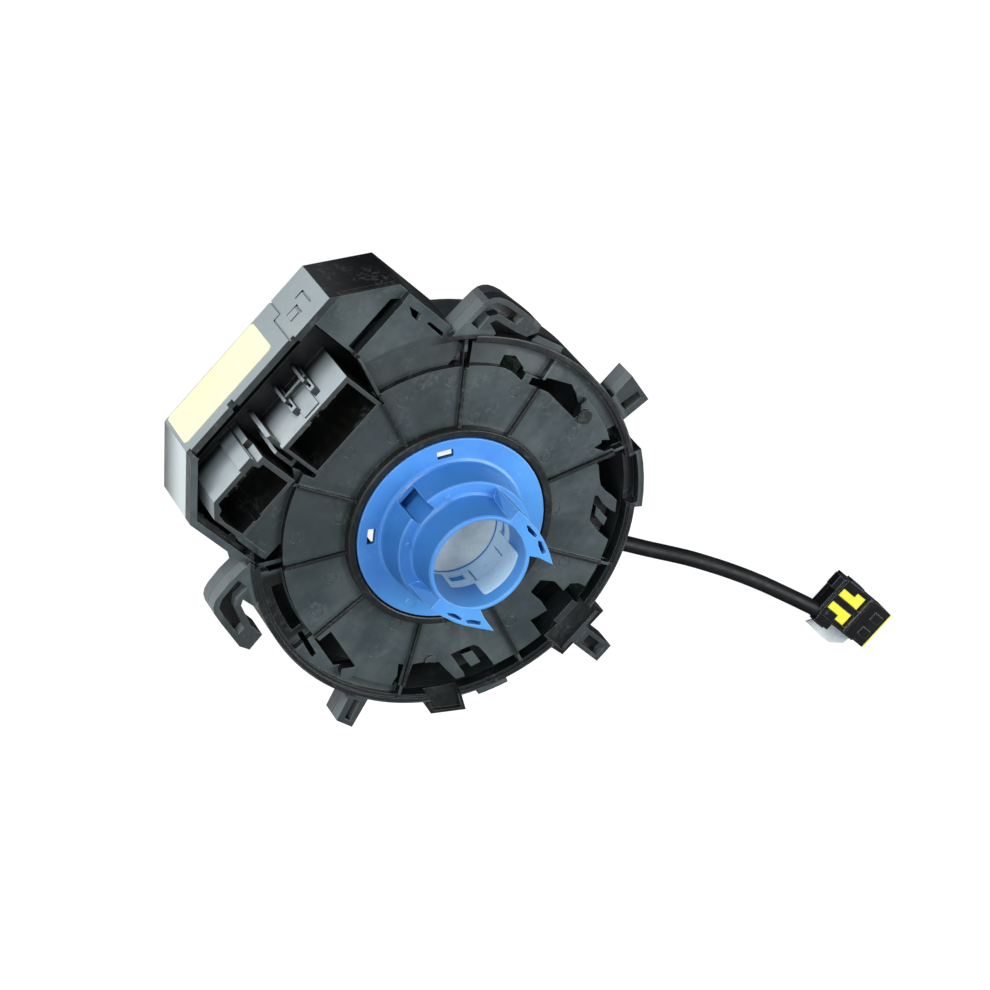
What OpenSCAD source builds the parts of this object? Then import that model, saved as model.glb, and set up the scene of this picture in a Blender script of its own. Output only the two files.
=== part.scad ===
// Steering clock spring: spiral cable contact unit with steering angle sensor.
// Millimetres. Origin on the bore axis at the rear face of the blue flange,
// +Z to the rear (column side), +Y to the connector block.

/* [Case] */
// Outer radius of the round case
case_r = 52.65; // [50:0.05:56]
// Wall thickness of the case mouldings
wall = 2.0; // [1.4:0.1:3]
// Height of the inner plate
plate_z = -2.7; // [-3.5:0.1:-2]
// Height of the outer, stepped down plate
step_z = -4.7; // [-6:0.1:-4]
// Radius where the plate steps down
step_r = 44.4; // [42:0.1:46]
// Height of the parting line between the case halves
seam_z = -6.7; // [-8:0.1:-6.5]
// Front edge of the round wall
round_front_z = -25.0; // [-28:0.1:-24]
// Width of the radial ribs on the plate
rib_w = 0.8; // [0.6:0.1:1.6]
// Height of the rib crests
rib_z = -1.4; // [-2:0.1:-0.5]

/* [Connector block] */
// Distance of the block's outer face from the axis
face_y = 68.5; // [64:0.1:74]
// Half width of the outer face
face_x = 26; // [20:0.1:30]
// Half width of the block
side_x = 39.5; // [36:0.1:44]
// Start of the 45 degree corners
cham_y = 56; // [52:0.1:60]
// Front edge of the block
block_front_z = -26.5; // [-28:0.1:-25]
// Height of the flat rear deck
deck_z = -6.8; // [-9:0.1:-5]
// Large socket opening, length and width
big_l = 22.0; // [18:0.1:24]
big_w = 10.7; // [9:0.1:12]
// Small socket opening, length and width
small_l = 17.2; // [12:0.1:18]
small_w = 11.2; // [8:0.1:12]

/* [Hub] */
// Radius of the blue flange
flange_r = 25.5; // [24:0.05:27]
// Radius of the hole in the rear case
hole_r = 26.0; // [25:0.05:28]
// Outer radius of the drum at the flange
drum_r = 19.0; // [17:0.1:21]
// Height of the ledge
ledge_z = 9.5; // [7:0.1:12]
// Height of the tube rim and the cam tops
rim_z = 19.4; // [15:0.1:24]
// Outer radius of the tube at its rim
tube_r = 13.5; // [13:0.1:15]
// Radius of the bore
bore_r = 12.3; // [11:0.05:13]

/* [Cable and lead] */
// Height of the surface the part lies on
floor_z = -33; // [-36:0.1:-30]
// Radius of the lead's sleeve
lead_r = 2.0; // [1.5:0.1:3]
// Width of the flat cable
cable_w = 7.6; // [5:0.1:8]
// Turns of flat cable
cable_turns = 2.5; // [1:0.5:4]

/* [Angle sensor] */
// Gear module
gear_m = 1.1; // [0.8:0.05:1.1]
// Teeth of the ring gear
ring_teeth = 60; // [40:1:60]
// Teeth of the first measuring gear
teeth_a = 12; // [10:1:12]
// Teeth of the second measuring gear
teeth_b = 13; // [11:1:13]

/* [Plug] */
// Length, width and height of the plug
plug_l = 21; // [18:0.5:26]
plug_w = 12.4; // [10:0.2:14]
plug_h = 7.5; // [7:0.1:9]

/* [Hidden] */
$fn = 72;
inner_r = case_r - wall;
rib_angles = [70, 110, 40, 140, 10, 170, -30, -150, -70, -110];
rotor_z = round_front_z;
gear_top = -6.95;
gear_low = -9.2;
ring_pitch = gear_m * ring_teeth / 2;
pitch_a = gear_m * teeth_a / 2;
pitch_b = gear_m * teeth_b / 2;
angle_a = 61;
angle_b = 36;
centre_a = [(ring_pitch + pitch_a) * cos(angle_a), (ring_pitch + pitch_a) * sin(angle_a)];
centre_b = [(ring_pitch + pitch_b) * cos(angle_b), (ring_pitch + pitch_b) * sin(angle_b)];
sleeve_r = 24.5;
sleeve_in = 22.5;
chamber_r = 36.9;
big_x = 1.9;
big_y = 45.95;
small_x = -24.6;
small_y = 50.0;
front_r = 47.6;
gap_r = 50.56;
loop_z = -7.0;
plug_x = 46.6;
plug_y = -132.6;
plug_z = floor_z;
black = [0.09, 0.1, 0.1];
blue = [0.22, 0.5, 0.85];
gold = [0.85, 0.7, 0.3];
yellow = [0.93, 0.92, 0.25];

// Lead centreline on the surface, straight out of the strain relief
lead_path = [
    [16.08, -52.6, -31], [17.8, -58.3, -31], [19.6, -64.2, -31], [21.4, -70.2, -31],
    [23.8, -76.2, -31], [26.2, -82.2, -31], [28.6, -88.7, -31], [30.8, -95.3, -31],
    [32.5, -101.8, -31], [34.1, -108.5, -31], [35.8, -115.2, -30.8], [37.5, -121.9, -30],
    [39.3, -128.4, -29.0], [40.3, -133.3, -28.4], [40.4, -134.0, -28.4]
];

// Block outline with its walls moved in by d
function block_pts(d, low = 28) = [
    [-side_x + d, low], [-side_x + d, cham_y - 0.437 * d],
    [-face_x + 0.392 * d, face_y - d], [face_x - 0.392 * d, face_y - d],
    [side_x - d, cham_y - 0.437 * d], [side_x - d, low]
];

// Box from one corner to the other
module box(a, b) {
    translate(a) cube(b - a);
}

// Upright bar of a polygon between two heights
module slab(pts, z0, z1) {
    translate([0, 0, z0]) linear_extrude(z1 - z0) polygon(pts);
}

// Sector of a ring between two heights and two angles
module sector(r0, r1, z0, z1, a0, a1) {
    translate([0, 0, z0]) rotate([0, 0, a0])
        rotate_extrude(angle = a1 - a0) translate([r0, 0]) square([r1 - r0, z1 - z0]);
}

// Round post
module post(x, y, r, z0, z1) {
    translate([x, y, z0]) cylinder(r = r, h = z1 - z0);
}

// Spur gear outline: root disc with trapezoid teeth slimmed for running play
module gear_2d(n, turn, slim) {
    pr = gear_m * n / 2;
    root = pr - 1.2 * gear_m;
    tip = pr + 0.9 * gear_m;
    half = gear_m * PI / 4 - slim;
    circle(r = root, $fn = n > 20 ? 96 : 24);
    for (i = [0 : n - 1]) rotate(turn + i * 360 / n)
        polygon([
            [root - 0.4, -half - 0.42 * gear_m], [root + 0.15, -half - 0.38 * gear_m],
            [pr - 0.45 * gear_m, -half - 0.14 * gear_m], [pr, -half],
            [pr + 0.45 * gear_m, -half + 0.2 * gear_m], [tip, -half + 0.46 * gear_m],
            [tip, half - 0.46 * gear_m], [pr + 0.45 * gear_m, half - 0.2 * gear_m],
            [pr, half], [pr - 0.45 * gear_m, half + 0.14 * gear_m],
            [root + 0.15, half + 0.38 * gear_m], [root - 0.4, half + 0.42 * gear_m]
        ]);
}

// Lug outlines: right, left and front ones
lug_right = [[45, -7.5], [50.9, -12.0], [59.1, -12.0], [57.2, -20.9], [49.2, -19.4], [42, -18]];
lug_left = [[-45, -7.5], [-49.8, -13.0], [-58.7, -15.8], [-57.8, -20.9], [-48.9, -18.6], [-42, -18]];
lug_south = [[-5.2, -48], [-5.2, -66.6], [0.4, -66.6], [0.4, -48]];

// Latch boxes that stand out of the wall in front and at the left
latch_south = [[-10.1, -50.2], [-9.6, -57.8], [6.4, -58.1], [6.5, -51.0]];
latch_left = [[-40.2, -31.2], [-43.2, -38.5], [-36.8, -46.1], [-32.6, -39.0]];

// Snap frame outlines on the wall: corner points of an arc between two angles
function arc_pts(r, a0, a1, n = 4) = [for (i = [0 : n]) let (a = a0 + (a1 - a0) * i / n) [r * cos(a), r * sin(a)]];
function frame_pts(r, a0, a1) = concat(arc_pts(r, a0, a1), arc_pts(50.9, a1, a0, 1));
snap_frames = [[55.0, -51, -33], [54.4, -125, -116]];

// Hook outlines and their hollow channels
hook_right = [
    [38, 37.0], [46.4, 36.8], [49.2, 36.6], [50.8, 36.2], [52.0, 35.4], [52.9, 34.2], [53.5, 32.6],
    [53.9, 30.5], [54.2, 22.6], [54.2, 19.4], [52.4, 18.6], [49.6, 20.4], [48.9, 23.5],
    [48.0, 30.5], [46.4, 31.3], [45.4, 28.0], [42.5, 28.0], [38, 30]
];
hook_left = [
    [-38, 37.0], [-45.3, 37.6], [-50.0, 37.3], [-51.6, 36.9], [-53.0, 36.0], [-54.0, 34.5],
    [-54.9, 31.4], [-57.1, 22.5], [-56.3, 19.5], [-51.2, 19.7], [-51.0, 24.1], [-48.2, 30.4],
    [-46.7, 31.2], [-46.5, 27.4], [-43.0, 27.4], [-38, 30]
];
hook_right_core = [
    [43.4, 32.6], [43.4, 35.5], [49.6, 35.1], [51.5, 33.8], [52.4, 30.8], [52.8, 25.0],
    [50.4, 25.0], [49.6, 31.2], [47.6, 32.8]
];
hook_left_core = [
    [-43.4, 32.6], [-43.4, 36.1], [-49.8, 35.9], [-52.0, 34.8], [-53.2, 31.6], [-54.7, 25.2],
    [-52.4, 25.2], [-49.7, 31.2], [-47.7, 32.8]
];

// All lugs and hooks between two heights, outside of the round room
module arms(z0, z1) {
    difference() {
        union() {
            for (pts = [lug_right, lug_left, lug_south, hook_right, hook_left]) slab(pts, z0, z1);
            for (f = snap_frames) slab(frame_pts(f[0], f[1], f[2]), z0, z1);
            for (pts = [latch_south, latch_left]) slab(pts, z0, min(z1, -4.4));
        }
        translate([0, 0, z0 - 1]) cylinder(r = case_r - 0.8, h = z1 - z0 + 2);
    }
}

// Ribbed rear moulding with rim, deck and the rear halves of lugs and hooks
module rear_case() color(black) {
    difference() {
        union() {
            // inner plate with the ring round its hole
            rotate_extrude() polygon([
                [25.0, -4.3], [25.0, -2.1], [hole_r, -2.1], [hole_r, -0.1], [hole_r + 0.3, 0],
                [27.6, 0], [27.9, -0.3], [27.9, plate_z], [step_r, plate_z], [step_r, -6.5],
                [step_r - 1.6, -6.5], [step_r - 1.6, -4.3]
            ]);
            // outer, stepped down plate with its grooved rim, open towards the block
            rotate([0, 0, 138]) rotate_extrude(angle = 259) polygon([
                [step_r - 0.8, -6.5], [step_r - 0.8, step_z], [50.4, step_z], [50.4, -3.0],
                [51.3, -3.0], [51.3, -2.3], [case_r, -2.3], [case_r, seam_z + 0.02], [inner_r + 0.2, seam_z + 0.02],
                [inner_r + 0.2, -6.5]
            ]);
            // plate carried out to the gap in front of the rim
            sector(step_r - 1, front_r, -6.2, plate_z, 188, 352);
            // the stepped plate carried out into the block
            difference() {
                slab([[-35.4, 33.0], [-35.4, 53.3], [37.8, 53.3], [37.8, 31.0]], -6.5, step_z);
                translate([0, 0, -8]) cylinder(r = step_r - 0.8, h = 8);
            }
            // step down to the deck, deck and the side's upper strip
            box([18.8, 46.6, -8.98], [39.4, 53.3, step_z]);
            slab([[37.5, 37.4], [37.5, 53.0], [side_x, 53.0], [side_x, 37.4]], -8.98, step_z);
            box([37.5, 33.4, -6.4], [side_x, 37.5, step_z]);
            slab([[18.8, 48], [18.8, 66.45], [28.2, 66.45], [side_x, cham_y], [side_x, 48]], -8.98, deck_z);
            // upper strip of the corner and side on the socket side
            difference() {
                slab(block_pts(0, 38.0), -9, -5.2);
                slab(block_pts(1.8, 20), -9.5, -5);
                box([-24.8, 30, -10], [60, 72, -4]);
            }
            box([-side_x, 33.4, -6.4], [-side_x + 1.8, 38.1, -5.2]);
            // inner wall and the frame plate below it
            box([-35.5, 34, -9.4], [-33.9, 43.2, -4.2]);
            slab([[-24.9, 66.3], [-37.2, 54.8], [-37.2, 36.4], [-33.9, 36.4], [-33.9, 52.0]], -10.6, -8.8);
            slab([[-24.9, 66.3], [-27.2, 66.6], [-38.6, 56.0], [-38.6, 38.2], [-33.9, 37.2], [-33.9, 52.0]],
                -9, -8.4);
            // radial ribs
            for (a = rib_angles) rotate([0, 0, a]) {
                box([27.4, -rib_w / 2, plate_z - 0.3], [a < 0 && a > -160 ? front_r - 0.3 : step_r, rib_w / 2, rib_z]);
                box([step_r - 0.2, -rib_w / 2, step_z - 0.3], [51.7, rib_w / 2, rib_z - 1.2]);
            }
            rotate([0, 0, 70]) box([50.6, -rib_w / 2, step_z - 0.3], [56.6, rib_w / 2, rib_z - 1.2]);
            // rear halves of lugs and hooks
            arms(seam_z + 0.1, plate_z);
            // small bosses on the rim and the plate
            slab([[49.6, 18.0], [51.6, 17.4], [53.4, 9.2], [51.4, 8.4]], seam_z + 0.1, plate_z - 1);
            post(43.3, -9.2, 2.0, -6.4, -2.0);
            post(-46.4, -7.9, 2.0, -6.4, -2.4);
            post(-31.4, -25.2, 1.6, -4.2, -2.2);
            // sunk boxes of the two latch loops
            slab([[30.4, -28.4], [22.2, -32.2], [21.0, -41.6], [29.4, -37.0]], loop_z - 0.9, plate_z - 0.4);
            slab([[-28.0, -28.0], [-20.2, -31.8], [-21.4, -41.4], [-29.8, -36.2]], loop_z - 0.9, plate_z - 0.4);
            // pivot posts of the measuring gears
            post(centre_a[0], centre_a[1], 1.45, -8.7, -4.2);
            post(centre_b[0], centre_b[1], 1.45, -8.7, -4.2);
        }
        // opening for the socket towers and the deep recess behind the label wall
        slab([[-11.2, 39.55], [14.6, 39.55], [14.6, 41.2], [18.7, 52.2], [18.7, 72], [-25.6, 66.0],
            [-36.2, 56.2], [-36.2, 53.6], [-35.6, 52.0], [-35.6, 42.8], [-14.2, 42.8], [-12.6, 45.2]], -7.6, 2);
        box([15.2, 46, -9.5], [18.7, 54, -7.4]);
        slab([[-35.7, 43.1], [-35.7, 52.1], [-36.3, 53.7], [-36.3, 56.0], [-25.5, 65.8], [-20, 66.5], [-20, 43.1]],
            -11, -7.4);
        // slot between the plate and the deck, slots along the side
        slab([[19.6, 53.1], [36.9, 53.1], [35.2, 55.2], [19.6, 55.2]], -9.5, 0);
        slab([[36.9, 51.0], [37.3, 46.8], [35.2, 46.0], [35.4, 48.6]], -9.5, 0);
        slab([[36.2, 44.0], [37.1, 43.4], [37.1, 38.4], [36.1, 37.8]], -9.5, 0);
        for (a = [39.4, 140.6]) rotate([0, 0, a]) box([43.9, -1.0, -9], [48.4, 0.8, 0]);
        // slots of the latches round the rim
        slab([[40.7, 10.3], [42.6, 10.8], [45.2, 4.8], [47.4, -1.2], [46.3, -4.2], [44.4, -7.2], [41.2, -7.6],
            [41.9, 0.1], [42.2, 4.0]], -9, 0);
        slab([[39.9, 19.6], [40.5, 16.8], [40.3, 12.6], [42.9, 13.2], [44.0, 17.6], [42.4, 20.4]], -9, 0);
        slab([[-40.4, 4.5], [-44.8, 5.4], [-47.6, -4.6], [-44.1, -8.6]], -9, 0);
        sector(44.9, 48.0, -9, 0, 147, 165);
        slab([[-46.2, 10.6], [-44.9, 10.0], [-47.7, 1.8], [-49.1, 2.1]], -9, 0);
        // open gap between the plate and the rim, bridged by the ribs
        for (g = [[-150, -110], [-110, -70], [-70, -30], [-30, -22.5]])
            sector(front_r - 0.2, gap_r, -9, 0, 360 + g[0] + 0.75, 360 + g[1] - 0.75);
        // large recesses beside the two front ribs
        slab([[36.0, -22.2], [35.8, -23.3], [33.6, -26.0], [32.2, -28.0], [31.8, -30.2], [31.9, -33.0],
            [31.6, -36.2], [32.4, -37.0], [42.0, -25.4]], -9, 0);
        slab([[-35.0, -21.8], [-33.9, -22.9], [-31.8, -25.1], [-30.4, -27.7], [-30.8, -30.4], [-31.4, -35.4],
            [-32.6, -36.6], [-42.0, -25.2]], -9, 0);
        // notches behind the two ribs
        slab([[38.6, -18.4], [40.7, -19.1], [41.5, -18.6], [43.6, -21.6], [43.0, -23.6], [39.6, -21.7]], -9, 0);
        slab([[-37.0, -18.3], [-36.4, -19.8], [-39.0, -21.3], [-42.6, -23.4], [-43.6, -21.4], [-39.8, -20.6]], -9, 0);
        // loop slots round their islands, open to the gap
        difference() {
            slab([[29.1, -28.9], [29.6, -29.7], [28.8, -32.5], [28.7, -35.6], [29.0, -37.6], [30.2, -38.6],
                [23.2, -43.0], [22.2, -41.6], [22.3, -37.9], [22.6, -35.8], [23.2, -33.0]], loop_z, 0);
            slab([[27.0, -31.8], [26.5, -36.8], [24.4, -37.6], [25.1, -33.2]], -9, plate_z);
        }
        difference() {
            slab([[-27.0, -28.8], [-28.9, -36.2], [-30.4, -38.6], [-23.2, -43.2], [-22.2, -41.0],
                [-21.4, -37.4], [-20.9, -34.0], [-21.3, -32.4], [-22.4, -31.5]], loop_z, 0);
            slab([[-25.3, -31.5], [-26.4, -36.5], [-23.9, -37.7], [-22.8, -33.2]], -9, plate_z);
        }
        // front recess between two tongues of the plate
        slab([[-1.2, -34.5], [2.9, -34.3], [4.9, -38.0], [4.4, -42.3], [7.0, -42.4], [8.4, -44.4],
            [8.8, -46.5], [10.2, -48.6], [-9.0, -48.9], [-8.5, -46.2], [-7.8, -43.6], [-7.2, -40.7],
            [-5.2, -41.6], [-2.4, -42.6], [-1.4, -39.2]], -9, 0);
        // windows of the frame plate
        slab([[-36.6, 43.4], [-36.6, 52.4], [-35.7, 53.4], [-35.7, 43.4]], -12, -8);
        box([-36.8, 35.2, -12], [-35.8, 40.8, -8]);
        // hollow latch boxes
        box([-8.6, -57.0, seam_z + 1], [5.2, -48.2, 0]);
        slab([[-42.1, -38.4], [-38.7, -30.6], [-32.4, -37.6], [-36.9, -44.7]], seam_z + 1, 0);
        sector(49.4, 53.4, seam_z + 1, 0, -49.4, -33.8);
        // slots in the lugs
        slab([[51.6, -15.2], [56.9, -16.6], [56.4, -18.9], [51.2, -17.9]], seam_z + 1, 0);
        slab([[-57.0, -17.2], [-51.4, -15.5], [-51.0, -17.3], [-56.7, -19.2]], seam_z + 1, 0);
        box([-4.0, -65.4, seam_z + 1], [-0.8, -58.6, 0]);
        // hollow channels of the hooks
        slab(hook_right_core, seam_z + 1.0, 0);
        slab(hook_left_core, seam_z + 1.0, 0);
        // ejector marks
        for (p = ejector_marks) translate([p[0], p[1], plate_z - 0.12]) difference() {
            cylinder(r = 1.6, h = 0.3, $fn = 24);
            translate([0, 0, -0.1]) cylinder(r = 1.4, h = 0.5, $fn = 24);
        }
    }
}

ejector_marks = [
    [-0.6, 37.0], [17.7, 34.9], [29.4, 28.2], [25.6, 15.7], [37.2, 11.7], [38.1, -9.9],
    [-26, 31.8], [-15.4, 25.5], [-29, 15.7], [-38.4, 11.7], [-38.1, -9.9], [29, -9],
    [-29, -9], [20, -22], [-20, -22], [10.5, -36], [-10.5, -36], [9, 30]
];

// Front moulding: round wall, block walls, cable chamber and front halves of lugs
module front_cover() color(black) {
    difference() {
        union() {
            difference() {
                union() {
                    translate([0, 0, round_front_z]) cylinder(r = case_r, h = seam_z - round_front_z);
                    slab(block_pts(0), block_front_z, -9.02);
                    slab([[13.2, 66.5], [13.2, face_y], [face_x, face_y], [28.1, 66.5]], -9.5, deck_z);
                    slab([[-24.6, 66.6], [-24.6, face_y], [13.4, face_y], [13.4, 66.6]], -9.5, -8.0);
                }
                // round room above the floor ring
                translate([0, 0, -20.9]) cylinder(r = inner_r, h = 30);
                // room of the block
                slab(block_pts(wall, 36), -20.9, 0);
                difference() {
                    slab(block_pts(wall, 36), block_front_z + 1.8, -20.7);
                    translate([0, 0, -30]) cylinder(r = case_r, h = 20);
                }
            }
            // cable chamber wall on the floor ring
            translate([0, 0, -21.5]) cylinder(r = chamber_r + 1.2, h = 7.9);
            // posts that carry the sensor board
            for (p = board_posts) post(p[0], p[1], 1.8, -21.4, -13.5);
            for (p = board_posts) post(p[0], p[1], 0.9, -14.0, -11.4);
            // front halves of lugs, hooks and latch boxes, snap tongue of the front latch
            arms(-10.7, seam_z);
            box([-3.7, -50.1, -12], [3.7, -47.9, -4.4]);
            box([-3.7, -51.6, -12], [3.7, -49.9, -7.2]);
        }
        // front opening for the rotor disc and the chamber inside its wall
        translate([0, 0, -30]) cylinder(r = 47.2, h = 7.6);
        translate([0, 0, -30]) cylinder(r = chamber_r, h = 20);
        rotate([0, 0, 128]) box([30, -3.6, -20.9], [42, 3.6, -10]);
        // stepped seam and grooves on the outer face
        box([13.8, face_y - 0.5, -30], [14.2, 70, -19]);
        box([11.6, face_y - 0.5, -19.4], [14.0, 70, -19]);
        box([11.6, face_y - 0.5, -19.2], [12.0, 70, -7]);
        box([19.4, face_y - 0.6, -18.9], [22.2, 70, -18.4]);
        box([21.7, face_y - 0.6, -18.6], [22.2, 70, -12.4]);
        box([15.0, face_y - 0.6, -16.4], [18.8, 70, -15.9]);
        box([18.3, face_y - 0.6, -16.1], [18.8, 70, -12.2]);
        // gap in the label wall's rear lip
        box([-10.6, face_y - 3, -9.6], [-8.7, 70, -7]);
        // hollow front of the front lug
        box([-3.9, -65.2, -12], [-0.9, -58.6, seam_z - 1]);
    }
    // square boss beside the grooves
    box([14.9, face_y - 0.3, -15.6], [17.9, face_y + 0.3, -12.8]);
}

board_posts = [[44.6, 14.5], [31.2, 36.4]];

// Outline of the small tower with its cut corner, and of the well in it
small_tower = [
    [-34.4, 43.4], [-34.4, 53.4], [-30.9, 56.9], [-16.4, 56.9], [-16.4, 55.2], [-14.5, 55.2], [-14.5, 43.4]
];
small_well = [
    [-33.2, small_y - small_w / 2], [-33.4, 50.6], [-32.8, 53.2], [-31.4, 53.7],
    [-30.6, small_y + small_w / 2], [-17.6, small_y + small_w / 2], [-17.4, 53.8],
    [-16.0, 53.6], [-16.0, small_y - small_w / 2]
];

// Towers of the two harness sockets with keys and rails
module socket_block() color(black) {
    difference() {
        union() {
            box([big_x - big_l / 2 - 0.9, big_y - big_w / 2 - 0.8, -20.7],
                [big_x + big_l / 2 + 1.1, big_y + big_w / 2 + 1.4, -2.2]);
            slab(small_tower, -20.7, -2.6);
            // foot plate
            slab([[-34.0, 44.6], [-12, 40.6], [-12, 39.8], [17, 39.8], [17, 58.6], [-29.0, 58.6]], -20.7, -19.2);
            // raised panel of the small tower
            box([-20.8, 56.4, -20.7], [-16.6, 57.7, -2.6]);
            box([-16.2, 54.6, -20.7], [-14.4, 57.3, -9.8]);
            // key panel and the two snap rails on the large tower's outer wall
            box([-0.6, 52.4, -20.7], [4.5, 53.2, -3.2]);
            for (x = [-1.9, 4.9]) {
                box([x, 52.4, -19.0], [x + 1.7, 54.9, -6.6]);
                box([x + 0.3, 54.6, -19.0], [x + 1.1, 56.6, -9.4]);
            }
            box([-1.9, 54.9, -12.6], [6.6, 55.9, -11.6]);
            slab([[-10.7, 52.0], [-9.6, 52.0], [-9.3, 56.6], [-10.4, 57.2]], -20.7, -4.0);
            box([-12.6, 45.4, -20.7], [-9.6, 46.4, -4.8]);
            box([-12.6, 45.4, -20.7], [-11.6, 51.6, -4.8]);
        }
        // socket wells
        box([big_x - big_l / 2, big_y - big_w / 2, -19.2], [big_x + big_l / 2, big_y + big_w / 2, 0]);
        slab(small_well, -19.2, 0);
        // key ways
        box([big_x - 2.3, big_y + big_w / 2 - 0.1, -19.2], [big_x + 1.8, big_y + big_w / 2 + 0.7, 0]);
        box([small_x - 4, small_y - small_w / 2 - 0.5, -19.2], [small_x - 2, small_y - small_w / 2 + 0.1, 0]);
        // finger gaps of the snap rails
        for (x = [-1.9, 4.9]) box([x + 0.5, 53.4, -9.4], [x + 1.2, 57, -8.0]);
        // room for the measuring gear beside the large tower
        post(centre_a[0], centre_a[1], 8.1, gear_low - 0.6, gear_top + 0.6);
        // holes of the terminal pins
        for (p = big_pins) translate([p[0], p[1], -21]) cube([1.1, 0.7, 4], center = true);
        for (p = small_pins) translate([p[0], p[1], -21]) cube([1.1, 0.7, 4], center = true);
    }
}

big_pins = [for (i = [0 : 5], j = [0, 1]) [big_x - 8 + 3.2 * i, big_y - 2 + 4 * j]];
small_pins = [for (i = [0 : 3], j = [0, 1]) [small_x - 5.1 + 3.4 * i, small_y - 1.8 + 3.6 * j]];

module pin(p) {
    box([p[0] - 0.5, p[1] - 0.3, -20.7], [p[0] + 0.5, p[1] + 0.3, -14.6]);
    box([p[0] - 0.3, p[1] - 0.2, -14.7], [p[0] + 0.3, p[1] + 0.2, -13.6]);
}

module big_socket_pins() color(gold) for (p = big_pins) pin(p);

module small_socket_pins() color(gold) for (p = small_pins) pin(p);

// Label with rounded corners, left blank
module label() color([1, 1, 0.86])
    difference() {
        box([-25, face_y, -25.9], [7.2, face_y + 0.25, -11.6]);
        for (x = [-25, 7.2], z = [-25.9, -11.6])
            translate([x, face_y - 1, z]) rotate([-90, 45, 0]) cube([1.1, 1.1, 6], center = true);
    }

// Sensor board on the chamber wall and the two posts
module sensor_board() color([0.1, 0.35, 0.2])
    difference() {
        intersection() {
            sector(33.6, 49.6, -13.4, -12.0, 12, 74);
            box([12, 5, -20], [60, 60, 0]);
        }
        box([0, 38.6, -20], [17.6, 60, 0]);
        for (p = board_posts) post(p[0], p[1], 1.0, -20, 0);
    }

// Two magnetic sensors and the controller
module sensor_chips() color([0.15, 0.15, 0.16]) {
    translate([centre_a[0], centre_a[1], -11.45]) rotate([0, 0, angle_a]) cube([3.4, 4.0, 1.1], center = true);
    translate([centre_b[0], centre_b[1], -11.45]) rotate([0, 0, angle_b]) cube([3.4, 4.0, 1.1], center = true);
    rotate([0, 0, 24]) translate([42, 0, -11.45]) cube([6, 5, 1.1], center = true);
}

module ring_gear() color([0.85, 0.85, 0.8])
    difference() {
        union() {
            translate([0, 0, gear_low]) linear_extrude(gear_top - gear_low) gear_2d(ring_teeth, 0, 0.1);
            translate([0, 0, gear_low - 2.2]) cylinder(r = 26.6, h = 2.4);
        }
        translate([0, 0, -20]) cylinder(r = sleeve_r + 0.04, h = 30);
    }

// A small gear with a blind pivot bore behind and a magnet cup in front
module measuring_gear(n, c, turn) translate([c[0], c[1], 0])
    difference() {
        union() {
            translate([0, 0, gear_low]) linear_extrude(gear_top - gear_low) gear_2d(n, turn, 0.1);
            translate([0, 0, -10.6]) cylinder(r = 3.4, h = 2);
        }
        translate([0, 0, -8.9]) cylinder(r = 1.5, h = 4);
        translate([0, 0, -12]) cylinder(r = 2.5, h = 2.7);
    }

// A tooth gap of each small gear faces the ring gear's tooth on the line of centres
turn_a = 180 + angle_a + 180 / teeth_a + (angle_a * ring_teeth / teeth_a) % (360 / teeth_a);
turn_b = 180 + angle_b + 180 / teeth_b + (angle_b * ring_teeth / teeth_b) % (360 / teeth_b);

module measuring_gear_a() color([0.9, 0.9, 0.86]) measuring_gear(teeth_a, centre_a, turn_a);

module measuring_gear_b() color([0.9, 0.9, 0.86]) measuring_gear(teeth_b, centre_b, turn_b);

module magnet_a() color([0.5, 0.5, 0.52]) post(centre_a[0], centre_a[1], 2.45, -10.6, -9.35);

module magnet_b() color([0.5, 0.5, 0.52]) post(centre_b[0], centre_b[1], 2.45, -10.6, -9.35);

// Holder of the flat cable's outer end in the chamber wall's gap
module stator_cable_end() color([0.2, 0.2, 0.22]) rotate([0, 0, 128])
    difference() {
        union() {
            box([35.2, -3.2, -20.8], [41.6, 3.2, -13.2]);
            box([41.4, -2.4, -20.8], [45.6, 2.4, -18.6]);
        }
        box([34, -0.35, -20.0], [39, 0.35, -12]);
        for (y = [-1.6, 0, 1.6]) post(43.8, y, 0.35, -22, -18);
    }

// Snap clips of the two case halves in the rim slots
module cover_latches() color(black) {
    for (a = [5, -26, 157]) rotate([0, 0, a]) {
        box([49.0, -1.6, -12.6], [50.1, 1.6, -7.0]);
        slab([[47.8, -1.6], [50.0, -1.6], [50.0, 1.6], [47.8, 1.6]], -8.0, -7.0);
    }
}

// Wound flat cable as one ribbon
module flat_cable() color([0.75, 0.6, 0.35]) {
    steps = cable_turns * 24;
    grow = 6.0 / steps;
    turn0 = 128 - cable_turns * 360;
    outer = [for (i = [0 : steps]) let (r = 28.6 + grow * i, a = turn0 + i * 15) [r * cos(a), r * sin(a)]];
    inner = [for (i = [0 : steps]) let (r = 28.0 + grow * i, a = turn0 + i * 15) [r * cos(a), r * sin(a)]];
    slab(concat(outer, [for (i = [steps : -1 : 0]) inner[i]]), rotor_z + 2.2, rotor_z + 2.2 + cable_w);
}

module rotor_cable_end() color([0.2, 0.2, 0.22]) rotate([0, 0, 128 - cable_turns * 360])
    difference() {
        box([24.3, -4.6, -22.6], [27.7, 0.8, -13.6]);
        translate([0, 0, -30]) cylinder(r = sleeve_r + 0.03, h = 30);
    }

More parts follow.
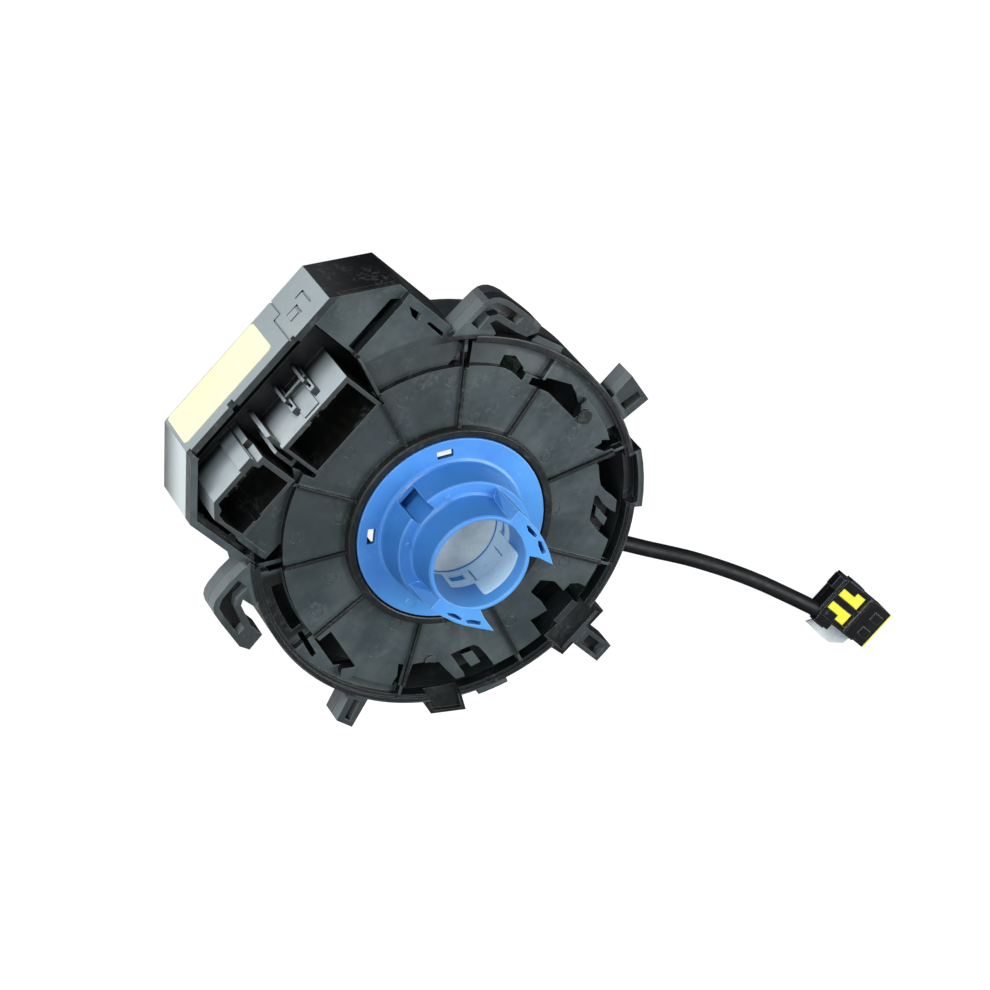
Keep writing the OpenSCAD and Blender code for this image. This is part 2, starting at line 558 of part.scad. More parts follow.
// Front disc with sleeve, outlet box, drive bosses and feet
module rotor_disc() color(black)
    difference() {
        union() {
            rotate_extrude() polygon([
                [sleeve_in, rotor_z], [46.6, rotor_z], [46.6, rotor_z + 2.2], [sleeve_r, rotor_z + 2.2],
                [sleeve_r, -2.4], [24.0, -2.4], [23.6, -3.0], [sleeve_in, -3.0]
            ]);
            // outlet box of the airbag lead
            rotate([0, 0, -73]) box([27, -7.5, floor_z], [44, 7.5, rotor_z + 0.2]);
            // seat of the wheel side socket
            box([-12, 27.5, floor_z + 0.4], [12, 42.5, rotor_z + 0.2]);
            // two drive bosses
            for (x = [-35, 35]) post(x, 0, 4.4, floor_z, rotor_z + 0.2);
            for (x = [-35, 35]) for (a = [0, 90]) translate([x, 0, 0]) rotate([0, 0, a + 45])
                box([-6, -0.6, rotor_z - 3], [6, 0.6, rotor_z + 0.2]);
            // stiffening ring and feet
            difference() {
                translate([0, 0, rotor_z - 1.2]) cylinder(r = 45.6, h = 1.4);
                translate([0, 0, rotor_z - 2]) cylinder(r = 44.2, h = 2);
            }
            for (a = [55, 125]) rotate([0, 0, a]) box([38.6, -3, floor_z], [44, 3, rotor_z + 0.2]);
        }
        // bore through the disc
        translate([0, 0, -40]) cylinder(r = sleeve_in, h = 60);
        // lead channel and room of the outlet box
        rotate([0, 0, -73]) {
            box([28.6, -5.9, floor_z + 1.4], [38.0, 5.9, rotor_z - 1.4]);
            translate([37, 0, -31]) rotate([0, 90, 0]) cylinder(r = 3.2, h = 20);
            box([37, -3.2, floor_z - 1], [50, 3.2, -31]);
        }
        // well for the wheel side socket
        box([-10.2, 29.2, floor_z - 1], [10.2, 40.8, rotor_z - 0.6]);
        // pilot holes of the drive bosses
        for (x = [-35, 35]) post(x, 0, 2.1, floor_z - 1, rotor_z - 1);
    }

// Wheel side socket
module rotor_socket() color([0.93, 0.93, 0.9])
    difference() {
        box([-10.1, 29.3, floor_z + 0.6], [10.1, 40.7, rotor_z - 0.8]);
        box([-8.7, 30.7, floor_z - 1], [8.7, 39.3, rotor_z - 2.2]);
        for (i = [0 : 4]) box([-6.5 + 3 * i, 34.7, -28], [-5.7 + 3 * i, 35.3, -24]);
    }

module rotor_pins() color(gold) for (i = [0 : 4])
    box([-6.5 + 3 * i, 34.7, -28.4], [-5.7 + 3 * i, 35.3, rotor_z - 0.8]);

// Blue hub
module hub() color(blue) {
    difference() {
        union() {
            rotate_extrude() polygon([
                [20.2, -1.6], [25.2, -1.6], [flange_r, -1.3], [flange_r, -0.2], [25.3, 0], [20.0, 0],
                [19.3, 0.3], [drum_r, 0.8], [18.1, ledge_z - 0.3], [17.8, ledge_z], [15.2, ledge_z],
                [14.5, ledge_z + 0.2], [14.2, ledge_z + 0.8], [tube_r + 0.1, rim_z - 0.4],
                [tube_r - 0.3, rim_z], [bore_r + 0.3, rim_z], [bore_r, rim_z - 0.3], [bore_r, 0.0],
                [14.2, 0.0], [14.2, ledge_z - 1.6], [16.4, ledge_z - 1.6], [17.0, 0.6], [17.0, -1.6],
                [20.2, -1.6]
            ]);
            // spigot into the rotor sleeve
            rotate_extrude() polygon([
                [20.3, -1.5], [20.3, -9.0], [21.9, -9.0], [22.44, -8.4], [22.44, -3.0], [23.4, -1.9],
                [23.4, -1.5]
            ]);
            // web that carries the tube under the film
            translate([0, 0, -1.6]) cylinder(r = 17.2, h = 1.2);
            // walls of the deep notch
            intersection() {
                box([-3.9, 13.6, -4.6], [4.1, 19.4, ledge_z]);
                translate([0, 0, -10]) cylinder(r1 = 19.4, r2 = 17.8, h = 19.5);
            }
            // cancel cams
            difference() {
                union() {
                    slab([
                        [9.2, -9.6], [10.3, -12.2], [11.1, -17.0], [12.2, -15.0], [13.3, -13.0],
                        [14.8, -9.2], [15.6, -6.4], [16.0, -3.8], [16.4, -1.5], [16.6, 1.9],
                        [16.6, 5.0], [13.4, 2.9], [12.8, 0]
                    ], ledge_z - 0.4, rim_z);
                    slab([
                        [-9.2, -9.6], [-10.3, -12.2], [-11.5, -17.3], [-12.4, -15.0], [-13.3, -13.0],
                        [-14.8, -9.2], [-15.6, -6.4], [-16.0, -3.8], [-16.4, -1.5], [-16.6, 1.9],
                        [-16.6, 5.0], [-13.4, 2.9], [-12.8, 0]
                    ], ledge_z - 0.4, rim_z);
                }
                // leaning end walls
                translate([0, 5.1, ledge_z]) rotate([17, 0, 0]) box([-20, 0, -1], [20, 8, 14]);
                // cored pockets
                for (s = [-1, 1]) {
                    slab([[s * 14.9, -2.4], [s * 15.2, -3.4], [s * 14.5, -7.4], [s * 13.7, -7.2],
                        [s * 13.9, -4.4]], rim_z - 4.5, rim_z + 1);
                    slab([[s * 13.6, -8.4], [s * 14.0, -9.4], [s * 12.4, -12.9], [s * 11.5, -12.2],
                        [s * 12.6, -9.6]], rim_z - 4.5, rim_z + 1);
                }
            }
        }
        // bore
        translate([0, 0, 0.6]) cylinder(r = bore_r, h = 30);
        // notch through the drum
        box([-2.7, 14.8, -3.4], [2.9, 17.6, ledge_z + 1]);
        box([-2.7, 17.0, 0.9], [2.9, 22, ledge_z + 1]);
        // windows of the flange with the spigot open below them
        for (a = [50, 130]) {
            rotate([0, 0, a]) box([20.7, -2.2, -3], [22.9, 2.2, 1]);
            sector(19.6, 24, -10, -1.6, a - 11, a + 11);
        }
        // seat of the collar
        translate([0, 0, 0.6]) cylinder(r = 13.3, h = 1.2);
        sector(bore_r - 1, 13.3, 0.7, 8.8, -152, -28);
        // room in the web under the film
        translate([0, 0, -3]) cylinder(r = 10.4, h = 4);
    }
    // pips on the ledge
    for (a = [64, 122]) rotate([0, 0, a]) translate([15.9, 0, ledge_z - 0.1]) cylinder(r = 0.6, h = 0.5, $fn = 24);
    // screw like boss on the flange
    rotate([0, 0, -165]) translate([22.3, 0, -0.1]) cylinder(r = 1.2, h = 0.5, $fn = 24);
}

// Lilac collar set into the bore wall with its arms and windows
module inner_collar() color([0.5, 0.56, 0.85])
    difference() {
        translate([0, 0, 0.65]) cylinder(r = 13.25, h = 7.9);
        translate([0, 0, 0]) cylinder(r = bore_r, h = 10);
        sector(11, 15, 1.75, 10, -29, 209);
        for (a = [-135.5, -44.5]) sector(11, 15, 2.2, 5.6, a - 9.5, a + 9.5);
        for (a = [-117, -74]) sector(11, 15, 2.4, 10, a - 0.9, a + 0.9);
    }

// Protective film across the bore
module centre_film() color([0.62, 0.6, 0.58]) translate([0, 0, -0.38]) cylinder(r = 12.2, h = 0.5);

// Airbag lead swept along its centreline
module pigtail() color([0.12, 0.12, 0.13]) {
    n = len(lead_path);
    sides = 12;
    dirs = [for (i = [0 : n - 1])
        let (a = lead_path[max(i - 1, 0)], b = lead_path[min(i + 1, n - 1)], d = b - a) d / norm(d)];
    pts = [for (i = [0 : n - 1], k = [0 : sides - 1])
        lead_path[i] + lead_r * (cos(k * 360 / sides) * [dirs[i][1], -dirs[i][0], 0]
            + sin(k * 360 / sides) * [0, 0, 1])];
    faces = concat(
        [[for (k = [0 : sides - 1]) k]],
        [for (i = [0 : n - 2], k = [0 : sides - 1])
            [i * sides + k, (i + 1) * sides + k, (i + 1) * sides + (k + 1) % sides, i * sides + (k + 1) % sides]],
        [[for (k = [sides - 1 : -1 : 0]) (n - 1) * sides + k]]
    );
    polyhedron(pts, faces);
}

// Tapered strain relief in the outlet box
module cord_outlet() color([0.14, 0.14, 0.15])
    rotate([0, 0, -73]) translate([0, 0, -31]) rotate([0, 90, 0]) difference() {
        union() {
            translate([0, 0, 38.2]) cylinder(r = 3.1, h = 4);
            translate([0, 0, 42]) cylinder(r1 = 3.1, r2 = 2.3, h = 13);
            translate([0, 0, 37]) cylinder(r = 2.6, h = 1.3);
        }
        box([2.0, -5, 30], [6, 5, 60]);
    }

// Plug: black housing with cover windows, neck and latch ribs
module plug_housing() color([0.06, 0.06, 0.07])
    translate([plug_x, plug_y, plug_z]) difference() {
        union() {
            box([-plug_w / 2, -plug_l, 0], [plug_w / 2, -0.6, plug_h]);
            slab([[-plug_w / 2, -0.7], [-plug_w / 2 + 1.2, 0], [plug_w / 2 - 1.2, 0], [plug_w / 2, -0.7]],
                3.4, plug_h - 0.8);
            // neck that takes the lead
            box([-8.7, -7.4, 1.8], [-3.6, -1.4, plug_h - 0.6]);
            box([-9.2, -6.6, 2.6], [-8.6, -3.0, plug_h - 1.6]);
            // raised corner and latch ribs
            box([1.6, -4.2, plug_h - 4], [5.6, 2.2, plug_h - 0.9]);
            box([plug_w / 2 - 0.1, -9.0, 2.4], [plug_w / 2 + 0.6, -3.4, 5.6]);
            box([-plug_w / 2 - 0.7, -plug_l + 0.8, 2.2], [-plug_w / 2 + 0.1, -9.4, 3.4]);
            for (x = [-3.9, 1.3]) box([x, -plug_l + 1.4, plug_h - 0.1], [x + 2.6, -plug_l + 5.0, plug_h + 0.35]);
            box([-plug_w / 2 + 0.3, -plug_l + 8.6, plug_h - 0.1], [plug_w / 2 - 0.3, -plug_l + 9.4, plug_h + 0.3]);
        }
        // lower near edge and corners eased
        translate([0, 0, -0.4]) rotate([18, 0, 0]) box([-8, -1.3, -4], [12, 8, 3.4]);
        // room of the yellow lock
        box([-plug_w / 2 + 1.1, -12.6, plug_h - 3.6], [plug_w / 2 - 1.1, -0.9, plug_h - 1.1]);
        // windows over the pads
        for (s = [-1, 1]) {
            box([min(s * 1.0, s * 3.6), -11.4, plug_h - 2], [max(s * 1.0, s * 3.6), -1.2, plug_h + 1]);
            box([min(s * 1.0, s * 5.0), -11.4, plug_h - 2], [max(s * 1.0, s * 5.0), -6.2, plug_h + 1]);
        }
        // mouth at the mating end
        box([-plug_w / 2 + 1.2, -plug_l - 1, 1.1], [plug_w / 2 - 1.2, -14.0, plug_h - 1.1]);
    }

// Yellow lock plate with two L pads, slides in the housing
module plug_lock() color(yellow)
    translate([plug_x, plug_y, plug_z]) {
        box([-plug_w / 2 + 1.2, -11.1, plug_h - 3.5], [plug_w / 2 - 1.2, -1.3, plug_h - 1.2]);
        for (s = [-1, 1]) {
            box([min(s * 1.15, s * 3.45), -9.8, plug_h - 1.3], [max(s * 1.15, s * 3.45), -1.3, plug_h + 0.1]);
            box([min(s * 1.15, s * 4.85), -9.8, plug_h - 1.3], [max(s * 1.15, s * 4.85), -6.3, plug_h + 0.1]);
        }
    }

// Yellow seal frame at the mating end
module plug_seal() color(yellow)
    translate([plug_x, plug_y, plug_z]) difference() {
        box([-plug_w / 2 + 0.2, -plug_l - 0.7, 0.3], [plug_w / 2 - 0.2, -plug_l, plug_h - 0.2]);
        box([-plug_w / 2 + 1.5, -plug_l - 2, 1.4], [plug_w / 2 - 1.5, -plug_l + 1, plug_h - 1.4]);
    }

// Two sleeve contacts inside the mouth
module plug_terminals() color(gold)
    translate([plug_x, plug_y, plug_z]) for (x = [-2.2, 2.2])
        difference() {
            translate([x, -14.0, plug_h / 2]) rotate([90, 0, 0]) cylinder(r = 1.0, h = 2.4);
            translate([x, -15, plug_h / 2]) rotate([90, 0, 0]) cylinder(r = 0.5, h = 2);
        }

// Thin pale flap at the plug's side
module plug_flap() color([0.85, 0.87, 0.88])
    slab([[35.5, -137.0], [37.6, -138.6], [plug_x - plug_w / 2, -140.0], [plug_x - plug_w / 2, -153.4],
        [37.4, -152.8], [35.0, -148.6], [34.9, -145.6]], plug_z + 0.9, plug_z + 1.5);

rear_case();
front_cover();
socket_block();
label();
big_socket_pins();
small_socket_pins();
sensor_board();
sensor_chips();
stator_cable_end();
cover_latches();
rotor_disc();
hub();
inner_collar();
centre_film();
ring_gear();
rotor_cable_end();
rotor_socket();
rotor_pins();
flat_cable();
pigtail();
cord_outlet();
plug_housing();
plug_lock();
plug_seal();
plug_flap();
plug_terminals();
measuring_gear_a();
measuring_gear_b();
magnet_a();
magnet_b();
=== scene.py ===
"""Finishes, lead, small trim, light and camera for a steering clock spring.

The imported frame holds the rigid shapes. This script dresses each of them, lays the
lead to the small yellow and black plug, adds the thin band in the hub's bore, and
sets up the camera, a soft studio light and a plain white table.
"""

from __future__ import annotations

import logging
import math
from dataclasses import dataclass, field
from enum import Enum
from typing import ClassVar, Protocol

import bmesh
import bpy
from mathutils import Matrix, Vector

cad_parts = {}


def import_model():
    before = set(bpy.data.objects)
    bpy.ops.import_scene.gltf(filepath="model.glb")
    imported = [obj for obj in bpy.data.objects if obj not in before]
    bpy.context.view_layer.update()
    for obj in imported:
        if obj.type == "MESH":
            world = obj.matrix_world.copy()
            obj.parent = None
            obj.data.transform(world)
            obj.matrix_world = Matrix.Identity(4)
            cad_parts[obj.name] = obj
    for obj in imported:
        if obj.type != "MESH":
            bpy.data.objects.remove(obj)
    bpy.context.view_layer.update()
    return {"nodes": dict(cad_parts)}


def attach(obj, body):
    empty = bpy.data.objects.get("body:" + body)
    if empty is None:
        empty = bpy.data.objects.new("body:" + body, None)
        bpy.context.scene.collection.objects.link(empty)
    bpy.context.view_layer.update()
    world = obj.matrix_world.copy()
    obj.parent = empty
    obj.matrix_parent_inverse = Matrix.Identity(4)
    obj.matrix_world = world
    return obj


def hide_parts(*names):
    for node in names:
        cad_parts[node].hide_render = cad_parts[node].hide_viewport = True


LOG = logging.getLogger("clock_spring")
MM = 0.001

Colour = tuple[float, float, float]
Point = tuple[float, float, float]

DUST_TONE: Colour = (0.5, 0.5, 0.48)
GLINT_TONE: Colour = (0.8, 0.8, 0.78)
WHITE_TONE: Colour = (1.0, 1.0, 1.0)


class Body(str, Enum):
    """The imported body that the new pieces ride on."""

    ROTOR = "rotor"


class Measure(Enum):
    """What a zone's limit is read from, in millimetres, degrees or shares."""

    X = "x"
    Y = "y"
    Z = "z"
    RADIUS = "radius"
    ANGLE = "angle"
    NORMAL_X = "normal_x"
    NORMAL_Y = "normal_y"
    NORMAL_Z = "normal_z"
    UPRIGHT = "upright"
    CLOUD = "cloud"


class Slot(str, Enum):
    """The record's material slots for the lead and the blue hub."""

    LEAD = "lead_rubber"
    BLUE = "blue_plastic"


def put_in_scene(name: str, data: bpy.types.ID) -> bpy.types.Object:
    """Makes an object and links it to the scene.

    Args:
        name: The object's name.
        data: Its mesh, curve, lamp or camera.

    Returns:
        The object.
    """
    item = bpy.data.objects.new(name, data)
    bpy.context.scene.collection.objects.link(item)
    return item


# Node tree help


class Bench:
    """Lays out the nodes of one shader or group tree."""

    COLUMNS = 12
    COLUMN_WIDTH = 180
    ROW_HEIGHT = -220
    MIX_INPUTS = (0, 6, 7)
    MIX_OUTPUT = 2

    def __init__(self, tree: bpy.types.NodeTree) -> None:
        """Keeps the tree.

        Args:
            tree: The node tree that gets the nodes.
        """
        self.tree = tree
        self.count = 0

    def add(self, kind: str, **inputs: object) -> bpy.types.Node:
        """Adds a node and fills its inputs.

        Args:
            kind: The node's type name.
            inputs: Values or sockets by input name, with _ for a space.

        Returns:
            The new node.
        """
        node = self.tree.nodes.new(kind)
        node.location = (self.COLUMN_WIDTH * (self.count % self.COLUMNS),
                         self.ROW_HEIGHT * (self.count // self.COLUMNS))
        self.count += 1
        for name, value in inputs.items():
            self.feed(node.inputs[name.replace("_", " ")], value)
        return node

    def feed(self, socket: bpy.types.NodeSocket, value: object) -> None:
        """Links a socket to an input, or writes a plain value there.

        Args:
            socket: The input.
            value: An output socket, a number or a colour.
        """
        if isinstance(value, bpy.types.NodeSocket):
            self.tree.links.new(value, socket)
        else:
            socket.default_value = value

    def sum(self, kind: str, a: object, b: object = 0.0, c: object = 0.0) -> bpy.types.NodeSocket:
        """Returns the result of a math node.

        Args:
            kind: The math operation.
            a: First value.
            b: Second value.
            c: Third value.

        Returns:
            The output socket.
        """
        node = self.add("ShaderNodeMath")
        node.operation = kind
        for socket, value in zip(node.inputs, (a, b, c)):
            self.feed(socket, value)
        return node.outputs[0]

    def spread(self, value: object, low: float, high: float,
               out: tuple[float, float] = (0.0, 1.0)) -> bpy.types.NodeSocket:
        """Maps a range to another with soft ends.

        Args:
            value: The value to map.
            low: Where the range starts.
            high: Where the range ends.
            out: The two results.

        Returns:
            The output socket.
        """
        node = self.add("ShaderNodeMapRange")
        node.interpolation_type = "SMOOTHSTEP"
        for socket, item in zip(node.inputs, (value, low, high, *out)):
            self.feed(socket, item)
        return node.outputs[0]

    def blend(self, amount: object, a: object, b: object) -> bpy.types.NodeSocket:
        """Mixes two colours.

        Args:
            amount: The share of the second colour.
            a: First colour.
            b: Second colour.

        Returns:
            The output socket.
        """
        node = self.add("ShaderNodeMix")
        node.data_type = "RGBA"
        for index, item in zip(self.MIX_INPUTS, (amount, a, b)):
            self.feed(node.inputs[index], item)
        return node.outputs[self.MIX_OUTPUT]

    def group(self, tree: bpy.types.NodeTree, **inputs: object) -> bpy.types.Node:
        """Adds a group node and fills its inputs.

        Args:
            tree: The node group.
            inputs: Values or sockets by input name, with _ for a space.

        Returns:
            The group node.
        """
        node = self.add("ShaderNodeGroup")
        node.node_tree = tree
        for name, value in inputs.items():
            self.feed(node.inputs[name.replace("_", " ")], value)
        return node

    def noise(self, vector: object, scale: object, detail: float = 2.0,
              rough: float = 0.5) -> bpy.types.NodeSocket:
        """Returns the factor of a noise texture.

        Args:
            vector: Where it is read.
            scale: Cells per metre, as a number or a socket.
            detail: Number of finer layers.
            rough: Strength of the finer layers.

        Returns:
            The output socket.
        """
        node = self.add("ShaderNodeTexNoise", Vector=vector, Scale=scale, Detail=detail, Roughness=rough)
        return node.outputs["Fac"]

    def parts(self, vector: object) -> tuple[bpy.types.NodeSocket, ...]:
        """Splits a vector.

        Args:
            vector: The vector.

        Returns:
            Its X, Y and Z.
        """
        return tuple(self.add("ShaderNodeSeparateXYZ", Vector=vector).outputs)

    def bump(self, shader: bpy.types.Node, height: object, strength: float, depth: float,
             normal: object = None) -> None:
        """Gives a shader a bumped normal.

        Args:
            shader: The Principled node.
            height: The height socket.
            strength: The bump's strength.
            depth: The bump's height, in metres.
            normal: The normal that it starts from, if not the face's own.
        """
        node = self.add("ShaderNodeBump", Strength=strength, Distance=depth, Height=height)
        if normal is not None:
            self.feed(node.inputs["Normal"], normal)
        self.feed(shader.inputs["Normal"], node.outputs["Normal"])

    def split_rays(self, seen: bpy.types.Node, plain: object, shown: object,
                   out: bpy.types.Node) -> None:
        """Shows one shader to camera and transmission rays and another to the rest.

        Args:
            seen: The Light Path node.
            plain: The shader socket for the other rays.
            shown: The shader socket for camera and transmission rays.
            out: The tree's output node.
        """
        straight = self.sum("MAXIMUM", seen.outputs["Is Camera Ray"], seen.outputs["Is Transmission Ray"])
        mixed = self.add("ShaderNodeMixShader", Fac=straight)
        self.feed(mixed.inputs[1], plain)
        self.feed(mixed.inputs[2], shown)
        self.feed(out.inputs["Surface"], mixed.outputs[0])


def rgba(colour: Colour) -> tuple[float, float, float, float]:
    """Returns a colour with full alpha."""
    return (*colour, 1.0)


def grey(level: float) -> tuple[float, float, float, float]:
    """Returns a grey with full alpha."""
    return (level, level, level, 1.0)


def new_material(name: str) -> tuple[bpy.types.Material, Bench, bpy.types.Node]:
    """Starts a material with nodes.

    Args:
        name: The material's name.

    Returns:
        The material, its bench and its Principled node.
    """
    material = bpy.data.materials.new(name)
    material.use_nodes = True
    return material, Bench(material.node_tree), material.node_tree.nodes["Principled BSDF"]


class Gauge:
    """Gives a material's measures of place and facing, each built at its first use."""

    CLOUD_SCALE = 75.0

    def __init__(self, bench: Bench, texture: bpy.types.Node) -> None:
        """Splits the object coordinates and the normal.

        Args:
            bench: The material's bench.
            texture: The Texture Coordinate node.
        """
        self.bench = bench
        self.place = texture.outputs["Object"]
        scaled = bench.add("ShaderNodeVectorMath")
        scaled.operation = "SCALE"
        bench.feed(scaled.inputs["Vector"], self.place)
        scaled.inputs["Scale"].default_value = 1.0 / MM
        x, y, z = bench.parts(scaled.outputs["Vector"])
        nx, ny, nz = bench.parts(texture.outputs["Normal"])
        self.made = {
            Measure.X: x, Measure.Y: y, Measure.Z: z,
            Measure.NORMAL_X: nx, Measure.NORMAL_Y: ny, Measure.NORMAL_Z: nz,
        }

    def read(self, measure: Measure) -> bpy.types.NodeSocket:
        """Returns the socket of a measure.

        Args:
            measure: Which one.

        Returns:
            The output socket.
        """
        if measure not in self.made:
            self.made[measure] = self.derive(measure)
        return self.made[measure]

    def derive(self, measure: Measure) -> bpy.types.NodeSocket:
        """Builds a measure that isn't a plain coordinate.

        Args:
            measure: Which one.

        Returns:
            The output socket.
        """
        bench = self.bench
        x, y = self.made[Measure.X], self.made[Measure.Y]
        if measure is Measure.RADIUS:
            square = bench.sum("ADD", bench.sum("MULTIPLY", x, x), bench.sum("MULTIPLY", y, y))
            return bench.sum("SQRT", square)
        if measure is Measure.ANGLE:
            return bench.sum("MULTIPLY", bench.sum("ARCTAN2", y, x), math.degrees(1.0))
        if measure is Measure.UPRIGHT:
            return bench.sum("SUBTRACT", 1.0, bench.sum("ABSOLUTE", self.made[Measure.NORMAL_Z]))
        return bench.noise(self.place, self.CLOUD_SCALE)


@dataclass(frozen=True)
class Zone:
    """A field of painted light or shade on a moulding, bounded by soft steps.

    Attributes:
        colour: Its colour.
        limits: For each bound: the measure, where the zone starts and where it is full.
        amount: Its strength where it is full.
    """

    colour: Colour
    limits: tuple[tuple[Measure, float, float], ...]
    amount: float = 1.0

    def mask(self, bench: Bench, gauge: Gauge) -> bpy.types.NodeSocket:
        """Returns the zone's mask.

        Args:
            bench: The material's bench.
            gauge: The material's measures.

        Returns:
            The output socket.
        """
        total = None
        for measure, start, full in self.limits:
            step = bench.spread(gauge.read(measure), start, full)
            total = step if total is None else bench.sum("MULTIPLY", total, step)
        return bench.sum("MULTIPLY", total, self.amount)


# Fields of painted light and shade on the mouldings, in the order in which they are laid

TOP_FACE = (Measure.NORMAL_Z, 0.8, 0.95)
SIDE_FACE = (Measure.UPRIGHT, 0.25, 0.55)
BLOCK_FACE = (Measure.NORMAL_Y, 0.5, 0.8)
WALL_FACE = ((Measure.NORMAL_Y, 0.75, 0.95), (Measure.Y, 60.0, 62.0))
ARM_SIDE = ((Measure.NORMAL_Y, 0.1, 0.6), (Measure.NORMAL_X, 0.5, 0.0), (Measure.RADIUS, 53.4, 54.6))
TOWER_FACE = (BLOCK_FACE, (Measure.Y, 49.5, 50.5))

CASE_ZONES = (
    # The plate's half towards the block, painted darker as shade
    Zone((0.03, 0.04, 0.042), ((Measure.Y, 12.0, 36.0), (Measure.RADIUS, 53.6, 52.8)), 0.85),
    # Upright faces inside the rim, and those outside it, painted dark as shade
    Zone((0.005, 0.006, 0.007), (SIDE_FACE, (Measure.RADIUS, 52.2, 51.9))),
    Zone((0.012, 0.014, 0.016), (SIDE_FACE, (Measure.RADIUS, 52.2, 52.4))),
    # The bottoms of the recesses, and all that lies deeper, painted black as shade
    Zone((0.002, 0.0025, 0.003),
         ((Measure.Z, -5.0, -6.2), (Measure.Y, 53.1, 52.9), (Measure.RADIUS, 53.6, 53.3))),
    Zone((0.003, 0.0035, 0.004), ((Measure.Z, -7.6, -8.2),)),
    # The latch boxes along the rim, painted near black as shade on their lower parts
    Zone((0.004, 0.005, 0.005),
         ((Measure.RADIUS, 50.6, 50.9), (Measure.Z, -4.0, -4.3), (Measure.Y, 30.0, 28.0))),
    # The ribs' crests, and the ring round the flange, painted near black as shade
    Zone((0.008, 0.01, 0.01),
         ((Measure.Z, -2.2, -2.0), (Measure.NORMAL_Z, 0.6, 0.9), (Measure.RADIUS, 28.0, 28.3))),
    Zone((0.007, 0.009, 0.009), ((Measure.RADIUS, 28.2, 27.9),)),
    # The rim's top, painted dark as shade, and the broken painted highlight along it
    Zone((0.009, 0.011, 0.012),
         ((Measure.RADIUS, 50.3, 50.45), (Measure.RADIUS, 53.0, 52.8), (Measure.Y, 40.0, 36.0))),
    Zone((0.13, 0.15, 0.155),
         (TOP_FACE, (Measure.Z, -2.6, -2.4), (Measure.Z, -2.1, -2.2), (Measure.RADIUS, 52.2, 52.4),
          (Measure.CLOUD, 0.45, 0.6)), 0.5),
    # The floor by the left hook, painted black as shade, and a painted reflection on the panel on the right
    Zone((0.004, 0.005, 0.005),
         ((Measure.RADIUS, 44.6, 44.9), (Measure.Z, -4.2, -4.5), (Measure.ANGLE, 142.0, 143.5),
          (Measure.ANGLE, 168.0, 166.5))),
    Zone((0.1, 0.118, 0.122),
         (TOP_FACE, (Measure.ANGLE, 3.0, 5.0), (Measure.ANGLE, 27.0, 24.0), (Measure.RADIUS, 44.6, 45.2),
          (Measure.RADIUS, 49.4, 48.6), (Measure.CLOUD, 0.2, 0.7))),
    # The tops of hooks and lugs, painted darker, and their sides towards the block, painted light as lit
    Zone((0.033, 0.041, 0.043),
         (TOP_FACE, (Measure.RADIUS, 53.5, 54.5), (Measure.Z, -3.2, -3.0), (Measure.Y, 34.0, 30.0))),
    Zone((0.15, 0.175, 0.185), (*ARM_SIDE, (Measure.Y, 50.0, 46.0), (Measure.Z, -7.5, -6.5))),
)
COVER_ZONES = (
    # The label's wall, painted light as lit, with brighter clouds of painted light
    Zone((0.29, 0.34, 0.36), WALL_FACE),
    Zone((0.34, 0.38, 0.39), (*WALL_FACE, (Measure.CLOUD, 0.4, 0.8)), 0.6),
    # The left chamfer, painted bright as a reflection of the table, and the left side, painted lighter as lit
    Zone((0.78, 0.86, 0.87),
         ((Measure.NORMAL_X, -0.4, -0.6), (Measure.NORMAL_Y, 0.4, 0.6), (Measure.Y, 50.0, 54.0),
          (Measure.Z, -30.0, -12.0))),
    Zone((0.07, 0.082, 0.086), ((Measure.NORMAL_X, -0.8, -0.95), (Measure.Y, 33.0, 38.0))),
    # The sides of hooks and lugs towards the block, painted light as lit
    Zone((0.13, 0.15, 0.16), (*ARM_SIDE, (Measure.Y, 46.0, 42.0), (Measure.Z, -20.0, -8.0))),
    # The right chamfer, painted near black as shade
    Zone((0.003, 0.004, 0.005), ((Measure.NORMAL_X, 0.4, 0.6), (Measure.Y, 50.0, 54.0))),
)
BLOCK_ZONES = (
    # The towers' tops, painted lighter than the near black block, as lit
    Zone((0.034, 0.041, 0.043), ((Measure.NORMAL_Z, 0.7, 0.9), (Measure.Z, -9.0, -6.0))),
    # The towers' sides towards the label's wall, painted light as lit and fading to black deeper down, with
    # brighter painted clouds
    Zone((0.5, 0.57, 0.61), (*TOWER_FACE, (Measure.Z, -18.0, -13.5))),
    Zone((0.66, 0.72, 0.75), (*TOWER_FACE, (Measure.Z, -16.0, -11.0), (Measure.CLOUD, 0.4, 0.75)), 0.75),
    # The small tower's cut corner, painted light as lit
    Zone((0.45, 0.5, 0.52),
         ((Measure.NORMAL_X, -0.3, -0.6), (Measure.X, -27.0, -29.0), (Measure.Z, -18.0, -9.0))),
)
HUB_ZONES = (
    # The upright faces, painted darker as shade, and then the half away from the block, painted lighter as
    # lit
    Zone((0.03, 0.15, 0.43), ((Measure.UPRIGHT, 0.12, 0.5),), 0.85),
    Zone((0.1, 0.38, 0.82), ((Measure.Y, 8.0, -8.0),), 0.6),
)


